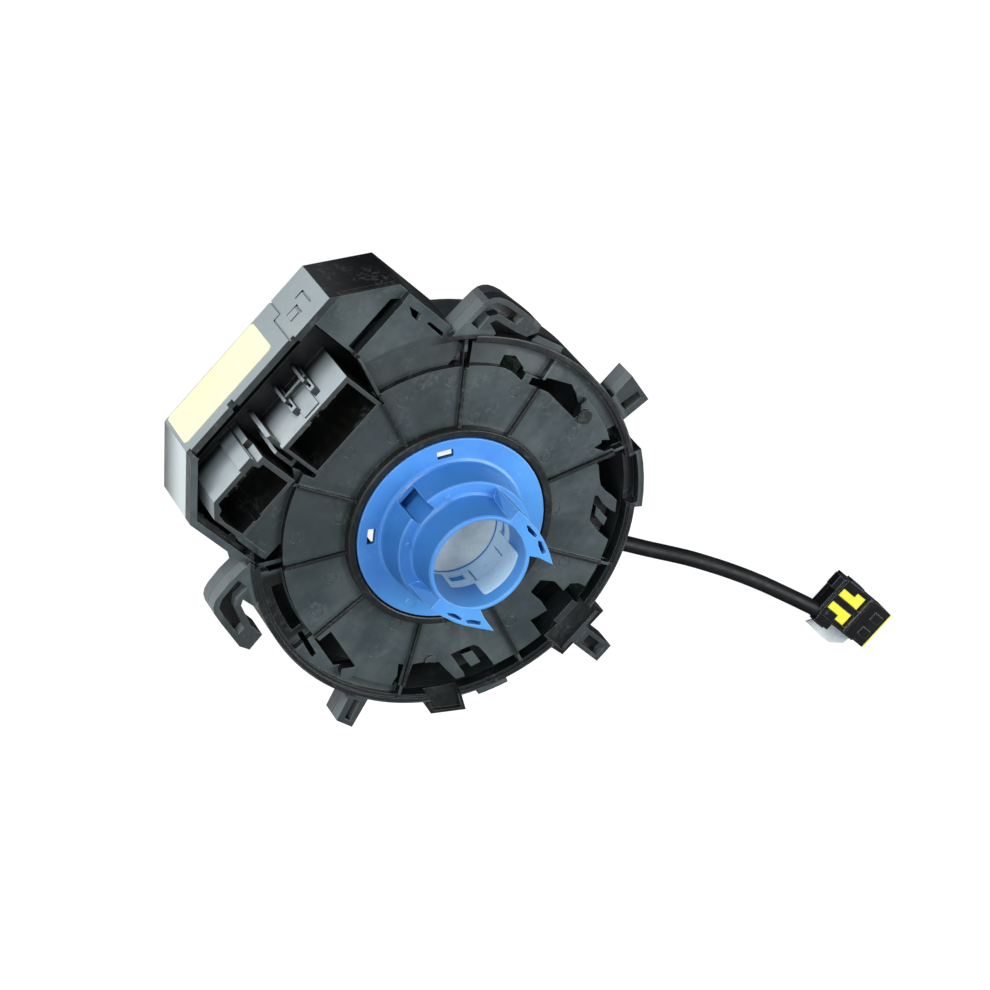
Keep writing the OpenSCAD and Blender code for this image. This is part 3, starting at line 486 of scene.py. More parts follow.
class SharedGroups:
    """Node groups that several finishes use."""

    GRAIN_SHARE = 0.35
    EDGE_SAMPLES = 4
    EDGE_MATCH = (0.995, 0.8)
    SCUFF_SCALE = 130.0
    SCRATCH_SCALE = 900.0
    SPECK_SCALE = 520.0
    SPECK_EDGE = (0.13, 0.05)
    SPECK_PATCH_SCALE = 210.0

    def __init__(self) -> None:
        """Builds each group once."""
        self.grain = self.build_grain()
        self.edges = self.build_edges()
        self.marks = self.build_marks()

    @staticmethod
    def start(name: str, sockets: list[tuple[str, str, str, float | None]]
              ) -> tuple[bpy.types.NodeTree, Bench, bpy.types.Node, bpy.types.Node]:
        """Starts a group with its sockets.

        Args:
            name: The group's name.
            sockets: Name, direction, type and default of each socket.

        Returns:
            The tree, its bench, and the input and output nodes.
        """
        tree = bpy.data.node_groups.new(name, "ShaderNodeTree")
        for label, way, kind, default in sockets:
            socket = tree.interface.new_socket(name=label, in_out=way, socket_type=kind)
            if default is not None:
                socket.default_value = default
        bench = Bench(tree)
        return tree, bench, bench.add("NodeGroupInput"), bench.add("NodeGroupOutput")

    def build_grain(self) -> bpy.types.NodeTree:
        """Makes the height of a spark eroded, slightly wavy moulded face.

        Returns:
            The group with a Height output.
        """
        tree, bench, enter, leave = self.start("moulded_grain", [
            ("Vector", "INPUT", "NodeSocketVector", None),
            ("Grain", "INPUT", "NodeSocketFloat", 2600.0),
            ("Waves", "INPUT", "NodeSocketFloat", 90.0),
            ("Wave Share", "INPUT", "NodeSocketFloat", 0.5),
            ("Height", "OUTPUT", "NodeSocketFloat", None),
        ])
        place = enter.outputs["Vector"]
        fine = bench.noise(place, enter.outputs["Grain"], 3.0, 0.6)
        waves = bench.noise(place, enter.outputs["Waves"], 1.0, 0.4)
        fine_height = bench.sum("MULTIPLY", fine, self.GRAIN_SHARE)
        wave_height = bench.sum("MULTIPLY", waves, enter.outputs["Wave Share"])
        bench.feed(leave.inputs["Height"], bench.sum("ADD", fine_height, wave_height))
        return tree

    def build_edges(self) -> bpy.types.NodeTree:
        """Makes softened edge normals and a mask of the outer edges.

        Returns:
            The group with Normal and Mask outputs.
        """
        tree, bench, enter, leave = self.start("soft_edges", [
            ("Radius", "INPUT", "NodeSocketFloat", 0.0002),
            ("Normal", "OUTPUT", "NodeSocketVector", None),
            ("Mask", "OUTPUT", "NodeSocketFloat", None),
        ])
        bevel = bench.add("ShaderNodeBevel", Radius=enter.outputs["Radius"])
        bevel.samples = self.EDGE_SAMPLES
        flat = bench.add("ShaderNodeNewGeometry").outputs["Normal"]
        match = bench.add("ShaderNodeVectorMath")
        match.operation = "DOT_PRODUCT"
        bench.feed(match.inputs[0], bevel.outputs[0])
        bench.feed(match.inputs[1], flat)
        bench.feed(leave.inputs["Normal"], bevel.outputs[0])
        bench.feed(leave.inputs["Mask"], bench.spread(match.outputs["Value"], *self.EDGE_MATCH))
        return tree

    def build_marks(self) -> bpy.types.NodeTree:
        """Makes masks of handling scuffs and of dust specks.

        Returns:
            The group with Scuffs and Dust outputs.
        """
        tree, bench, enter, leave = self.start("handling_marks", [
            ("Vector", "INPUT", "NodeSocketVector", None),
            ("Scuffs", "OUTPUT", "NodeSocketFloat", None),
            ("Dust", "OUTPUT", "NodeSocketFloat", None),
        ])
        place = enter.outputs["Vector"]
        cloud = bench.spread(bench.noise(place, self.SCUFF_SCALE, 4.0, 0.65), 0.5, 0.72)
        fine = bench.spread(bench.noise(place, self.SCRATCH_SCALE), 0.42, 0.68)
        bench.feed(leave.inputs["Scuffs"], bench.sum("MULTIPLY", cloud, fine))
        cells = bench.add("ShaderNodeTexVoronoi", Vector=place, Scale=self.SPECK_SCALE)
        speck = bench.spread(cells.outputs["Distance"], *self.SPECK_EDGE)
        rare = bench.spread(bench.noise(place, self.SPECK_PATCH_SCALE, 1.0), 0.6, 0.7)
        bench.feed(leave.inputs["Dust"], bench.sum("MULTIPLY", speck, rare))
        return tree


# Finishes


class Finish(Protocol):
    """What each kind of finish offers."""

    name: str

    def build(self, groups: SharedGroups) -> bpy.types.Material:
        """Makes the material."""


@dataclass(frozen=True)
class MouldedFinish:
    """A moulded plastic or rubber with grain, soft edges, scuffs and dust, with a painted highlight along its
    edges and painted light and shade in its zones.

    Attributes:
        name: The material's name.
        colour: Main colour.
        tint: Colour that drifts over the face in broad clouds.
        rim: Colour of the painted highlight along the outer edges, also given to the scuffs.
        zones: Fields of painted light and shade, laid one over the other.
        roughness: Low and high roughness.
        grain: Grain cells per metre.
        depth: Height of the grain, in metres.
        radius: Softening of the edges, in metres.
        scuff: Strength of the scuffs.
        painted_edge_highlight: Strength of the painted highlight along the edges.
        gloss: Specular level.
    """

    name: str
    colour: Colour
    tint: Colour
    rim: Colour
    zones: tuple[Zone, ...] = ()
    roughness: tuple[float, float] = (0.32, 0.48)
    grain: float = 2600.0
    depth: float = 0.00006
    radius: float = 0.00022
    scuff: float = 0.25
    painted_edge_highlight: float = 0.55
    gloss: float = 0.5

    CLOUD_SCALE: ClassVar[float] = 55.0
    PATCH_SCALE: ClassVar[float] = 240.0
    DUST_SHARE: ClassVar[float] = 0.5
    SCUFF_ROUGHNESS: ClassVar[float] = 0.3
    BUMP: ClassVar[float] = 0.55

    def build(self, groups: SharedGroups) -> bpy.types.Material:
        """Makes the material.

        Args:
            groups: The shared node groups.

        Returns:
            The material.
        """
        material, bench, shader = new_material(self.name)
        texture = bench.add("ShaderNodeTexCoord")
        place = texture.outputs["Object"]
        grain = bench.group(groups.grain, Vector=place, Grain=self.grain)
        edges = bench.group(groups.edges, Radius=self.radius)
        marks = bench.group(groups.marks, Vector=place)
        cloud = bench.spread(bench.noise(place, self.CLOUD_SCALE, 4.0, 0.6), 0.35, 0.68)
        colour = bench.blend(cloud, rgba(self.colour), rgba(self.tint))
        gauge = Gauge(bench, texture)
        # Painted light and shade of the zones
        for zone in self.zones:
            colour = bench.blend(zone.mask(bench, gauge), colour, rgba(zone.colour))
        # A painted highlight along the outer edges
        painted_edge_highlight = bench.sum("MULTIPLY", edges.outputs["Mask"], self.painted_edge_highlight)
        colour = bench.blend(painted_edge_highlight, colour, rgba(self.rim))
        scuffed = bench.sum("MULTIPLY", marks.outputs["Scuffs"], self.scuff)
        colour = bench.blend(scuffed, colour, rgba(self.rim))
        dusty = bench.sum("MULTIPLY", marks.outputs["Dust"], self.DUST_SHARE * self.scuff)
        colour = bench.blend(dusty, colour, rgba(DUST_TONE))
        bench.feed(shader.inputs["Base Color"], colour)
        patchy = bench.spread(bench.noise(place, self.PATCH_SCALE, 3.0, 0.6), 0.3, 0.7, self.roughness)
        duller = bench.sum("MULTIPLY", scuffed, self.SCUFF_ROUGHNESS)
        bench.feed(shader.inputs["Roughness"], bench.sum("ADD", patchy, duller))
        shader.inputs["Specular IOR Level"].default_value = self.gloss
        bench.bump(shader, grain.outputs["Height"], self.BUMP, self.depth, edges.outputs["Normal"])
        return material


@dataclass(frozen=True)
class MetalFinish:
    """A plated or sintered metal with fine brushing.

    Attributes:
        name: The material's name.
        colour: Main colour.
        dull: Colour of the tarnished patches.
        roughness: Low and high roughness.
    """

    name: str
    colour: Colour
    dull: Colour
    roughness: tuple[float, float] = (0.22, 0.4)

    BRUSH_SCALE: ClassVar[float] = 3200.0
    BRUSH_STRETCH: ClassVar[Point] = (1.0, 1.0, 0.08)
    PATCH_SCALE: ClassVar[float] = 260.0

    def build(self, groups: SharedGroups) -> bpy.types.Material:
        """Makes the material.

        Args:
            groups: The shared node groups.

        Returns:
            The material.
        """
        material, bench, shader = new_material(self.name)
        place = bench.add("ShaderNodeTexCoord").outputs["Object"]
        stretched = bench.add("ShaderNodeMapping", Vector=place, Scale=self.BRUSH_STRETCH)
        brush = bench.noise(stretched.outputs[0], self.BRUSH_SCALE, 2.0, 0.6)
        patch = bench.spread(bench.noise(place, self.PATCH_SCALE, 3.0, 0.6), 0.4, 0.7)
        bench.feed(shader.inputs["Base Color"], bench.blend(patch, rgba(self.colour), rgba(self.dull)))
        bench.feed(shader.inputs["Roughness"], bench.spread(brush, 0.3, 0.7, self.roughness))
        shader.inputs["Metallic"].default_value = 1.0
        bench.bump(shader, brush, strength=0.3, depth=0.00003)
        return material


@dataclass(frozen=True)
class FilmFinish:
    """A thin sheet: label, spiral film or clear flap.

    Attributes:
        name: The material's name.
        colour: Main colour.
        stain: Colour of faint stains and creases.
        roughness: Roughness.
        crease: Cells per metre of the creases.
        depth: Height of the creases, in metres.
        glints: Share of pale glints across the film.
    """

    name: str
    colour: Colour
    stain: Colour
    roughness: float = 0.55
    crease: float = 60.0
    depth: float = 0.0001
    glints: float = 0.0

    FIBRE_SCALE: ClassVar[float] = 2400.0
    FIBRE_STAIN: ClassVar[float] = 0.12
    FIBRE_HEIGHT: ClassVar[float] = 0.15
    ROUGHNESS_DRIFT: ClassVar[float] = 0.08
    GLINT_FINENESS: ClassVar[float] = 2.3

    def build(self, groups: SharedGroups) -> bpy.types.Material:
        """Makes the material.

        Args:
            groups: The shared node groups.

        Returns:
            The material.
        """
        material, bench, shader = new_material(self.name)
        place = bench.add("ShaderNodeTexCoord").outputs["Object"]
        broad = bench.spread(bench.noise(place, self.crease, 3.0, 0.55), 0.35, 0.7)
        fibre = bench.noise(place, self.FIBRE_SCALE, 3.0, 0.7)
        colour = bench.blend(broad, rgba(self.colour), rgba(self.stain))
        colour = bench.blend(bench.sum("MULTIPLY", fibre, self.FIBRE_STAIN), colour, rgba(self.stain))
        if self.glints:
            streak = bench.spread(bench.noise(place, self.crease * self.GLINT_FINENESS, 2.0, 0.4), 0.58, 0.66)
            colour = bench.blend(bench.sum("MULTIPLY", streak, self.glints), colour, rgba(GLINT_TONE))
        bench.feed(shader.inputs["Base Color"], colour)
        ends = (self.roughness - self.ROUGHNESS_DRIFT, self.roughness + self.ROUGHNESS_DRIFT)
        bench.feed(shader.inputs["Roughness"], bench.spread(fibre, 0.2, 0.8, ends))
        height = bench.sum("ADD", broad, bench.sum("MULTIPLY", fibre, self.FIBRE_HEIGHT))
        bench.bump(shader, height, strength=0.5, depth=self.depth)
        return material


@dataclass(frozen=True)
class BoardFinish:
    """A lacquered circuit board with copper tracks under the lacquer.

    Attributes:
        name: The material's name.
        lacquer: Colour of the lacquer over the bare board.
        track: Colour of the lacquer over the tracks.
    """

    name: str = "board_lacquer"
    lacquer: Colour = (0.003, 0.014, 0.007)
    track: Colour = (0.009, 0.034, 0.016)

    TRACK_SCALE: ClassVar[float] = 330.0
    PATCH_SCALE: ClassVar[float] = 600.0

    def build(self, groups: SharedGroups) -> bpy.types.Material:
        """Makes the material.

        Args:
            groups: The shared node groups.

        Returns:
            The material.
        """
        material, bench, shader = new_material(self.name)
        place = bench.add("ShaderNodeTexCoord").outputs["Object"]
        blocks = bench.add("ShaderNodeTexVoronoi", Vector=place, Scale=self.TRACK_SCALE)
        blocks.distance = "CHEBYCHEV"
        lines = bench.spread(blocks.outputs["Distance"], 0.36, 0.42)
        bench.feed(shader.inputs["Base Color"], bench.blend(lines, rgba(self.lacquer), rgba(self.track)))
        patchy = bench.spread(bench.noise(place, self.PATCH_SCALE), 0.3, 0.7, (0.2, 0.34))
        bench.feed(shader.inputs["Roughness"], patchy)
        bench.bump(shader, lines, strength=0.4, depth=0.00005)
        return material


@dataclass
class FinishBook:
    """All finishes, each built at its first use.

    Attributes:
        groups: The shared node groups.
        made: The materials built so far, by name.
    """

    groups: SharedGroups
    made: dict[str, bpy.types.Material] = field(default_factory=dict)

    CASE = MouldedFinish(
        "case_gloss_black", (0.032, 0.045, 0.049), (0.073, 0.093, 0.098), (0.16, 0.19, 0.2),
        zones=CASE_ZONES, roughness=(0.26, 0.4), depth=0.00005, painted_edge_highlight=0.42)
    COVER = MouldedFinish(
        "cover_satin_black", (0.022, 0.027, 0.029), (0.036, 0.043, 0.046), (0.2, 0.225, 0.24),
        zones=COVER_ZONES, roughness=(0.3, 0.45), gloss=0.35)
    # Near black, partly the block's own black and partly painted shade for the insides of its wells; the
    # zones paint its lit faces
    BLOCK = MouldedFinish(
        "tower_satin_black", (0.004, 0.0045, 0.005), (0.006, 0.007, 0.0075), (0.17, 0.2, 0.21),
        zones=BLOCK_ZONES, roughness=(0.3, 0.45))
    TRIM = MouldedFinish(
        "trim_black", (0.006, 0.007, 0.008), (0.012, 0.014, 0.015), (0.13, 0.15, 0.155),
        roughness=(0.28, 0.42))
    BLUE = MouldedFinish(
        "hub_blue", (0.06, 0.25, 0.69), (0.072, 0.28, 0.75), (0.34, 0.66, 1.0),
        zones=HUB_ZONES, roughness=(0.28, 0.4), scuff=0.1, painted_edge_highlight=0.75, radius=0.00032, depth=0.00003)
    LILAC = MouldedFinish(
        "collar_lilac", (0.62, 0.85, 0.99), (0.68, 0.89, 0.99), (0.85, 0.93, 0.99),
        roughness=(0.25, 0.38), scuff=0.1)
    RUBBER = MouldedFinish(
        "lead_sleeve_black", (0.004, 0.005, 0.006), (0.009, 0.011, 0.012), (0.05, 0.06, 0.065),
        roughness=(0.42, 0.56), grain=1900.0, depth=0.0001, gloss=0.25)
    PLUG = MouldedFinish(
        "plug_gloss_black", (0.003, 0.0035, 0.004), (0.008, 0.009, 0.01), (0.24, 0.26, 0.27),
        roughness=(0.16, 0.26), painted_edge_highlight=0.8)
    YELLOW = MouldedFinish(
        "lock_yellow", (0.83, 0.78, 0.045), (0.88, 0.84, 0.08), (0.93, 0.9, 0.3),
        roughness=(0.3, 0.42), scuff=0.08)
    WHITE = MouldedFinish(
        "natural_nylon", (0.72, 0.72, 0.66), (0.66, 0.65, 0.58), (0.8, 0.8, 0.76),
        roughness=(0.35, 0.5), scuff=0.1)
    HOLDER = MouldedFinish(
        "holder_grey", (0.05, 0.052, 0.056), (0.06, 0.062, 0.066), (0.15, 0.15, 0.16))
    CHIP = MouldedFinish(
        "chip_black", (0.02, 0.02, 0.021), (0.026, 0.026, 0.027), (0.08, 0.08, 0.08), roughness=(0.45, 0.6))
    LABEL = FilmFinish(
        "label_paper", (0.93, 0.92, 0.63), (0.88, 0.87, 0.58), roughness=0.6, crease=40.0, depth=0.00002)
    CENTRE = FilmFinish(
        "centre_film", (0.82, 0.85, 0.79), (0.62, 0.65, 0.6),
        roughness=0.28, crease=110.0, depth=0.0003, glints=0.6)
    CABLE = FilmFinish("spiral_film", (0.34, 0.2, 0.07), (0.24, 0.13, 0.05), roughness=0.3)
    FLAP = FilmFinish(
        "clear_flap", (0.62, 0.68, 0.7), (0.75, 0.8, 0.82), roughness=0.2, crease=260.0, glints=0.4)
    BRASS = MetalFinish("plated_pins", (0.5, 0.36, 0.16), (0.3, 0.21, 0.1))
    MAGNET = MetalFinish("sintered_magnet", (0.25, 0.25, 0.26), (0.15, 0.15, 0.16), (0.45, 0.6))
    BOARD = BoardFinish()

    def get(self, finish: Finish) -> bpy.types.Material:
        """Returns a finish's material, built at its first use.

        Args:
            finish: One of the finishes above.

        Returns:
            The material.
        """
        if finish.name not in self.made:
            self.made[finish.name] = finish.build(self.groups)
        return self.made[finish.name]

    def dress(self, piece: bpy.types.Object, finish: Finish) -> None:
        """Gives a piece one finish in all its slots.

        Args:
            piece: The object.
            finish: One of the finishes above.
        """
        material = self.get(finish)
        if not piece.data.materials:
            piece.data.materials.append(material)
        for index in range(len(piece.data.materials)):
            piece.data.materials[index] = material


NODE_FINISHES: dict[str, Finish] = {
    "rear_case": FinishBook.CASE,
    "front_cover": FinishBook.COVER,
    "socket_block": FinishBook.BLOCK,
    "label": FinishBook.LABEL,
    "big_socket_pins": FinishBook.BRASS,
    "small_socket_pins": FinishBook.BRASS,
    "sensor_board": FinishBook.BOARD,
    "sensor_chips": FinishBook.CHIP,
    "stator_cable_end": FinishBook.HOLDER,
    "rotor_cable_end": FinishBook.HOLDER,
    "cover_latches": FinishBook.TRIM,
    "rotor_disc": FinishBook.TRIM,
    "hub": FinishBook.BLUE,
    "inner_collar": FinishBook.LILAC,
    "centre_film": FinishBook.CENTRE,
    "ring_gear": FinishBook.WHITE,
    "measuring_gear_a": FinishBook.HOLDER,
    "measuring_gear_b": FinishBook.HOLDER,
    "magnet_a": FinishBook.MAGNET,
    "magnet_b": FinishBook.MAGNET,
    "rotor_socket": FinishBook.WHITE,
    "rotor_pins": FinishBook.BRASS,
    "flat_cable": FinishBook.CABLE,
    "pigtail": FinishBook.RUBBER,
    "cord_outlet": FinishBook.RUBBER,
    "plug_housing": FinishBook.PLUG,
    "plug_lock": FinishBook.YELLOW,
    "plug_seal": FinishBook.YELLOW,
    "plug_flap": FinishBook.FLAP,
    "plug_terminals": FinishBook.BRASS,
}


# Camera, light and table


@dataclass(frozen=True)
class Lamp:
    """An area lamp that looks at the part.

    Attributes:
        name: The lamp's name.
        place: Where it hangs, in metres.
        size: Its two sides, in metres.
        power: Its power in watts.
        tone: Its colour.
    """

    name: str
    place: Point
    size: tuple[float, float]
    power: float
    tone: Colour = WHITE_TONE

    def hang(self) -> None:
        """Adds the lamp to the scene."""
        data = bpy.data.lights.new(self.name, "AREA")
        data.shape = "RECTANGLE"
        data.size, data.size_y = self.size
        data.energy = self.power
        data.color = self.tone
        lamp = put_in_scene(self.name, data)
        lamp.location = self.place
        lamp.rotation_euler = Vector(self.place).to_track_quat("Z", "Y").to_euler()


@dataclass
class Studio:
    """The camera, the light and the white table.

    The table shows as white paper with the part's shadow, and glossy faces see it as
    a sheet with painted shade that goes from dark to white across the part.

    Attributes:
        eye: The camera's place, in metres.
        right: The camera's X axis.
        up: The camera's Y axis.
        back: The camera's Z axis.
        lens: Focal length, in millimetres.
        sensor: Width of the sensor, in millimetres.
        table_z: Height of the table, in metres.
        table_reach: Half the table's side, in metres.
    """

    eye: Point = (0.101938, 0.499985, 0.692387)
    right: Point = (0.666334, -0.641079, 0.380812)
    up: Point = (0.738552, 0.497107, -0.45544)
    back: Point = (0.102669, 0.584724, 0.804709)
    lens: float = 123.0794
    sensor: float = 36.0
    table_z: float = -0.03302
    table_reach: float = 4.0

    # A large soft lamp overhead and two weaker ones on the block's side
    LAMPS: ClassVar[tuple[Lamp, ...]] = (
        Lamp("overhead", (0.55, -0.45, 0.8), (0.7, 0.7), 10.5),
        Lamp("block_side", (0.2, 1.0, 0.24), (0.6, 0.4), 6.5, (1.0, 0.99, 0.97)),
        Lamp("front", (-0.2, 0.6, 0.8), (0.5, 0.5), 3.4, (0.97, 0.99, 1.0)),
    )
    SKY_WAY: ClassVar[Point] = (-0.3, 0.55, 0.78)
    SKY_LEVELS: ClassVar[tuple[float, float]] = (0.12, 1.0)
    SKY_TONE: ClassVar[Colour] = (0.9, 0.96, 1.0)
    SKY_STRENGTH: ClassVar[float] = 0.4
    PAPER_LEVEL: ClassVar[float] = 0.25
    PAPER_GLOW: ClassVar[float] = 0.9
    PAPER_LEVEL_UNSEEN: ClassVar[float] = 0.5
    # The painted shade that glossy faces see on the table: dark towards +X and -Y, white towards -X and +Y
    SHEEN_LEVELS: ClassVar[tuple[float, float]] = (0.03, 0.95)
    SHEEN_EDGE: ClassVar[tuple[float, float]] = (0.02, 0.06)
    SHEEN_WAY: ClassVar[tuple[float, float]] = (0.6, 0.8)

    def build(self) -> None:
        """Makes the camera, lights, world and table."""
        self.set_camera()
        self.set_world()
        for lamp in self.LAMPS:
            lamp.hang()
        self.set_table()
        bpy.context.scene.view_settings.view_transform = "Standard"

    def set_camera(self) -> None:
        """Adds the camera at the photograph's viewing angle."""
        data = bpy.data.cameras.new("camera")
        data.lens = self.lens
        data.sensor_width = self.sensor
        data.clip_start = 0.01
        data.clip_end = 20.0
        camera = put_in_scene("camera", data)
        rows = zip(self.right, self.up, self.back, self.eye)
        camera.matrix_world = Matrix((*rows, (0.0, 0.0, 0.0, 1.0)))
        bpy.context.scene.camera = camera

    def set_world(self) -> None:
        """Makes a room that is white to the camera and softly graded to the rest."""
        world = bpy.data.worlds.new("room")
        bpy.context.scene.world = world
        world.use_nodes = True
        bench = Bench(world.node_tree)
        light = world.node_tree.nodes["Background"]
        out = world.node_tree.nodes["World Output"]
        way = bench.add("ShaderNodeTexCoord").outputs["Generated"]
        aim = bench.add("ShaderNodeVectorMath")
        aim.operation = "DOT_PRODUCT"
        bench.feed(aim.inputs[0], way)
        aim.inputs[1].default_value = Vector(self.SKY_WAY).normalized()
        level = bench.spread(aim.outputs["Value"], -0.4, 1.0, self.SKY_LEVELS)
        bench.feed(light.inputs["Color"], bench.blend(level, grey(0.0), rgba(self.SKY_TONE)))
        light.inputs["Strength"].default_value = self.SKY_STRENGTH
        white = bench.add("ShaderNodeBackground", Color=rgba(WHITE_TONE), Strength=1.0)
        seen = bench.add("ShaderNodeLightPath")
        bench.split_rays(seen, light.outputs[0], white.outputs[0], out)

    def set_table(self) -> None:
        """Lays a white table that keeps the part's soft shadow."""
        mesh = bpy.data.meshes.new("table")
        shape = bmesh.new()
        bmesh.ops.create_grid(shape, x_segments=1, y_segments=1, size=self.table_reach)
        bmesh.ops.translate(shape, verts=shape.verts, vec=(0.0, 0.0, self.table_z))
        shape.to_mesh(mesh)
        shape.free()
        mesh.materials.append(self.table_material())
        put_in_scene("table", mesh)

    def table_material(self) -> bpy.types.Material:
        """Makes white paper that glossy faces see as a sheet with painted shade graded across the part.

        Returns:
            The material.
        """
        material, bench, shader = new_material("table_white")
        out = material.node_tree.nodes["Material Output"]
        shader.inputs["Roughness"].default_value = 0.8
        shader.inputs["Specular IOR Level"].default_value = 0.0
        paper = bench.add("ShaderNodeBsdfDiffuse", Color=grey(self.PAPER_LEVEL))
        glow = bench.add("ShaderNodeEmission", Color=rgba(WHITE_TONE), Strength=self.PAPER_GLOW)
        both = bench.add("ShaderNodeAddShader")
        bench.feed(both.inputs[0], paper.outputs[0])
        bench.feed(both.inputs[1], glow.outputs[0])
        seen = bench.add("ShaderNodeLightPath")
        x, y, _ = bench.parts(bench.add("ShaderNodeTexCoord").outputs["Object"])
        right, far = self.SHEEN_WAY
        across = bench.sum("SUBTRACT", bench.sum("MULTIPLY", y, far), bench.sum("MULTIPLY", x, right))
        dark, light = self.SHEEN_LEVELS
        sheen = bench.blend(bench.spread(across, *self.SHEEN_EDGE), grey(dark), grey(light))
        white = bench.blend(seen.outputs["Is Glossy Ray"], grey(self.PAPER_LEVEL_UNSEEN), sheen)
        bench.feed(shader.inputs["Base Color"], white)
        bench.split_rays(seen, shader.outputs[0], both.outputs[0], out)
        return material


# The lead


@dataclass
class AirbagLead:
    """The short sleeved lead from the rotor to its small plug.

    Attributes:
        points: The centre line, in millimetres, within a millimetre of the solid's.
        radius: The sleeve's radius, in millimetres.
        plug: The nodes that hang on its end; not used.
    """

    ROUNDNESS: ClassVar[int] = 8
    NEAR_SHARE: ClassVar[float] = 0.5625
    FAR_SHARE: ClassVar[float] = 0.0625

    points: tuple[Point, ...] = (
        (16.08, -52.6, -30.8), (17.5, -58.6, -30.8), (19.4, -64.5, -30.8), (21.5, -70.1, -30.8),
        (23.8, -76.2, -30.8), (26.2, -82.2, -30.8), (28.7, -88.6, -30.8), (30.9, -95.2, -30.8),
        (32.8, -101.4, -30.8), (34.6, -107.9, -30.7), (36.3, -114.7, -30.4), (37.8, -121.5, -29.8),
        (39.3, -128.4, -29.0), (40.3, -133.3, -28.4), (40.4, -134.0, -28.4))
    radius: float = 2.2
    plug: tuple[str, ...] = ("plug_housing", "plug_lock", "plug_seal", "plug_flap", "plug_terminals")

    def route(self) -> list[Vector]:
        """Returns the centre line with a smooth point between each two, in metres."""
        path = [Vector(point) * MM for point in self.points]
        smooth = [path[0]]
        for index in range(len(path) - 1):
            before, after = path[max(index - 1, 0)], path[min(index + 2, len(path) - 1)]
            middle = (path[index] + path[index + 1]) * self.NEAR_SHARE - (before + after) * self.FAR_SHARE
            smooth.extend((middle, path[index + 1]))
        return smooth

    @staticmethod
    def length(route: list[Vector]) -> float:
        """Returns the length of a route, in metres."""
        return sum((b - a).length for a, b in zip(route, route[1:]))

    def build(self, book: FinishBook) -> bpy.types.Object:
        """Args:
            book: The finishes.

        Returns:
            The sleeve.
        """
        data = bpy.data.curves.new("lead_sleeve", "CURVE")
        data.dimensions = "3D"
        data.bevel_depth = self.radius * MM
        data.bevel_resolution = self.ROUNDNESS
        data.use_fill_caps = True
        route = self.route()
        spline = data.splines.new("POLY")
        spline.points.add(len(route) - 1)
        for point, place in zip(spline.points, route):
            point.co = (*place, 1.0)
        spline.use_smooth = True
        sleeve = put_in_scene("lead_sleeve", data)
        book.dress(sleeve, FinishBook.RUBBER)
        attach(sleeve, Body.ROTOR.value)
        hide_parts("pigtail")
        return sleeve


# Small trim of the hub


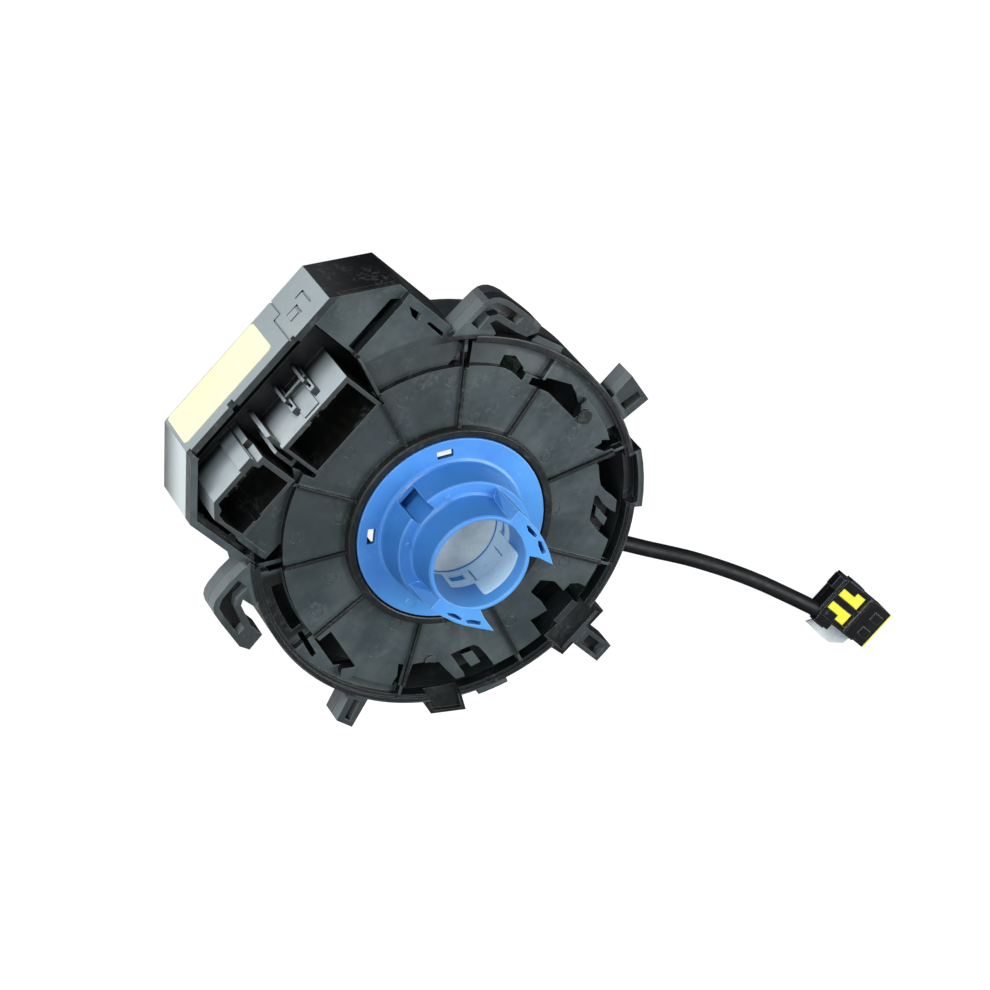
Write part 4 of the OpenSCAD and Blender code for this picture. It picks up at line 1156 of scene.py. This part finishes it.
@dataclass
class CollarBand:
    """The thin raised band of the inner collar's snap arm.

    Attributes:
        radii: Inner and outer radius, in millimetres.
        heights: Lower and upper edge, in millimetres.
        angles: Where it starts and ends round the bore, in degrees.
        steps: Number of flats round it.
        corner: Rounding of its two upper corners, in millimetres.
        edge: Rounding of its edges, in millimetres.
    """

    radii: tuple[float, float] = (11.85, 12.27)
    heights: tuple[float, float] = (8.45, 15.3)
    angles: tuple[float, float] = (-121.0, -52.0)
    steps: int = 28
    corner: float = 1.4
    edge: float = 0.1

    # The least angle between two faces, in radians, of an edge that is rounded
    SHARP: ClassVar[float] = 1.0

    def sweep(self, shape: bmesh.types.BMesh) -> None:
        """Sweeps the band's section round the bore.

        Args:
            shape: The empty shape.
        """
        bmesh.ops.create_grid(shape, x_segments=1, y_segments=1, size=0.5)
        middle, height = sum(self.radii) / 2.0, sum(self.heights) / 2.0
        size = Vector((self.radii[1] - self.radii[0], self.heights[1] - self.heights[0], 1.0)) * MM
        bmesh.ops.scale(shape, vec=size, verts=shape.verts)
        bmesh.ops.rotate(shape, verts=shape.verts, matrix=Matrix.Rotation(math.radians(90.0), 3, "X"))
        bmesh.ops.translate(shape, verts=shape.verts, vec=Vector((middle, 0.0, height)) * MM)
        turn = Matrix.Rotation(math.radians(self.angles[0]), 3, "Z")
        bmesh.ops.rotate(shape, verts=shape.verts, matrix=turn)
        bmesh.ops.spin(shape, geom=[*shape.verts, *shape.edges, *shape.faces],
                       cent=(0.0, 0.0, 0.0), axis=(0.0, 0.0, 1.0),
                       angle=math.radians(self.angles[1] - self.angles[0]),
                       steps=self.steps, use_duplicate=False)
        bmesh.ops.remove_doubles(shape, verts=shape.verts, dist=1e-7)

    def round_off(self, shape: bmesh.types.BMesh) -> None:
        """Rounds the two upper corners of the outline and then all sharp edges.

        Args:
            shape: The swept band.
        """
        reach = 0.1 * MM
        corner = Vector((sum(self.radii) / 2.0, 0.0, self.heights[1])) * MM
        for angle in self.angles:
            end = Matrix.Rotation(math.radians(angle), 3, "Z") @ corner
            outline = [edge for edge in shape.edges
                       if ((edge.verts[0].co + edge.verts[1].co) / 2.0 - end).length < reach]
            bmesh.ops.bevel(shape, geom=outline, offset=self.corner * MM, segments=5, profile=0.5,
                            affect="EDGES", material=-1)
        sharp = [edge for edge in shape.edges
                 if len(edge.link_faces) == 2 and edge.calc_face_angle() > self.SHARP]
        bmesh.ops.bevel(shape, geom=sharp, offset=self.edge * MM, segments=2, profile=0.5,
                        affect="EDGES", material=-1)

    def build(self, book: FinishBook) -> bpy.types.Object:
        """Makes the band and lets it ride on the rotor.

        Args:
            book: The finishes.

        Returns:
            The band.
        """
        shape = bmesh.new()
        self.sweep(shape)
        self.round_off(shape)
        bmesh.ops.recalc_face_normals(shape, faces=shape.faces)
        mesh = bpy.data.meshes.new("collar_band")
        shape.to_mesh(mesh)
        shape.free()
        band = put_in_scene("collar_band", mesh)
        book.dress(band, FinishBook.LILAC)
        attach(band, Body.ROTOR.value)
        return band


def main() -> None:
    """Builds the classes in order and finishes the frame."""
    logging.basicConfig(level=logging.INFO, format="%(message)s")
    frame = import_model()
    Studio().build()
    book = FinishBook(SharedGroups())
    lead = AirbagLead().build(book)
    LOG.info("lead: %s", lead.name)
    band = CollarBand().build(book)
    LOG.info("hub trim: %s", band.name)
    for name, finish in NODE_FINISHES.items():
        book.dress(frame["nodes"][name], finish)
        LOG.info("dressed: %s with %s", name, finish.name)


if __name__ == "__main__":
    main()
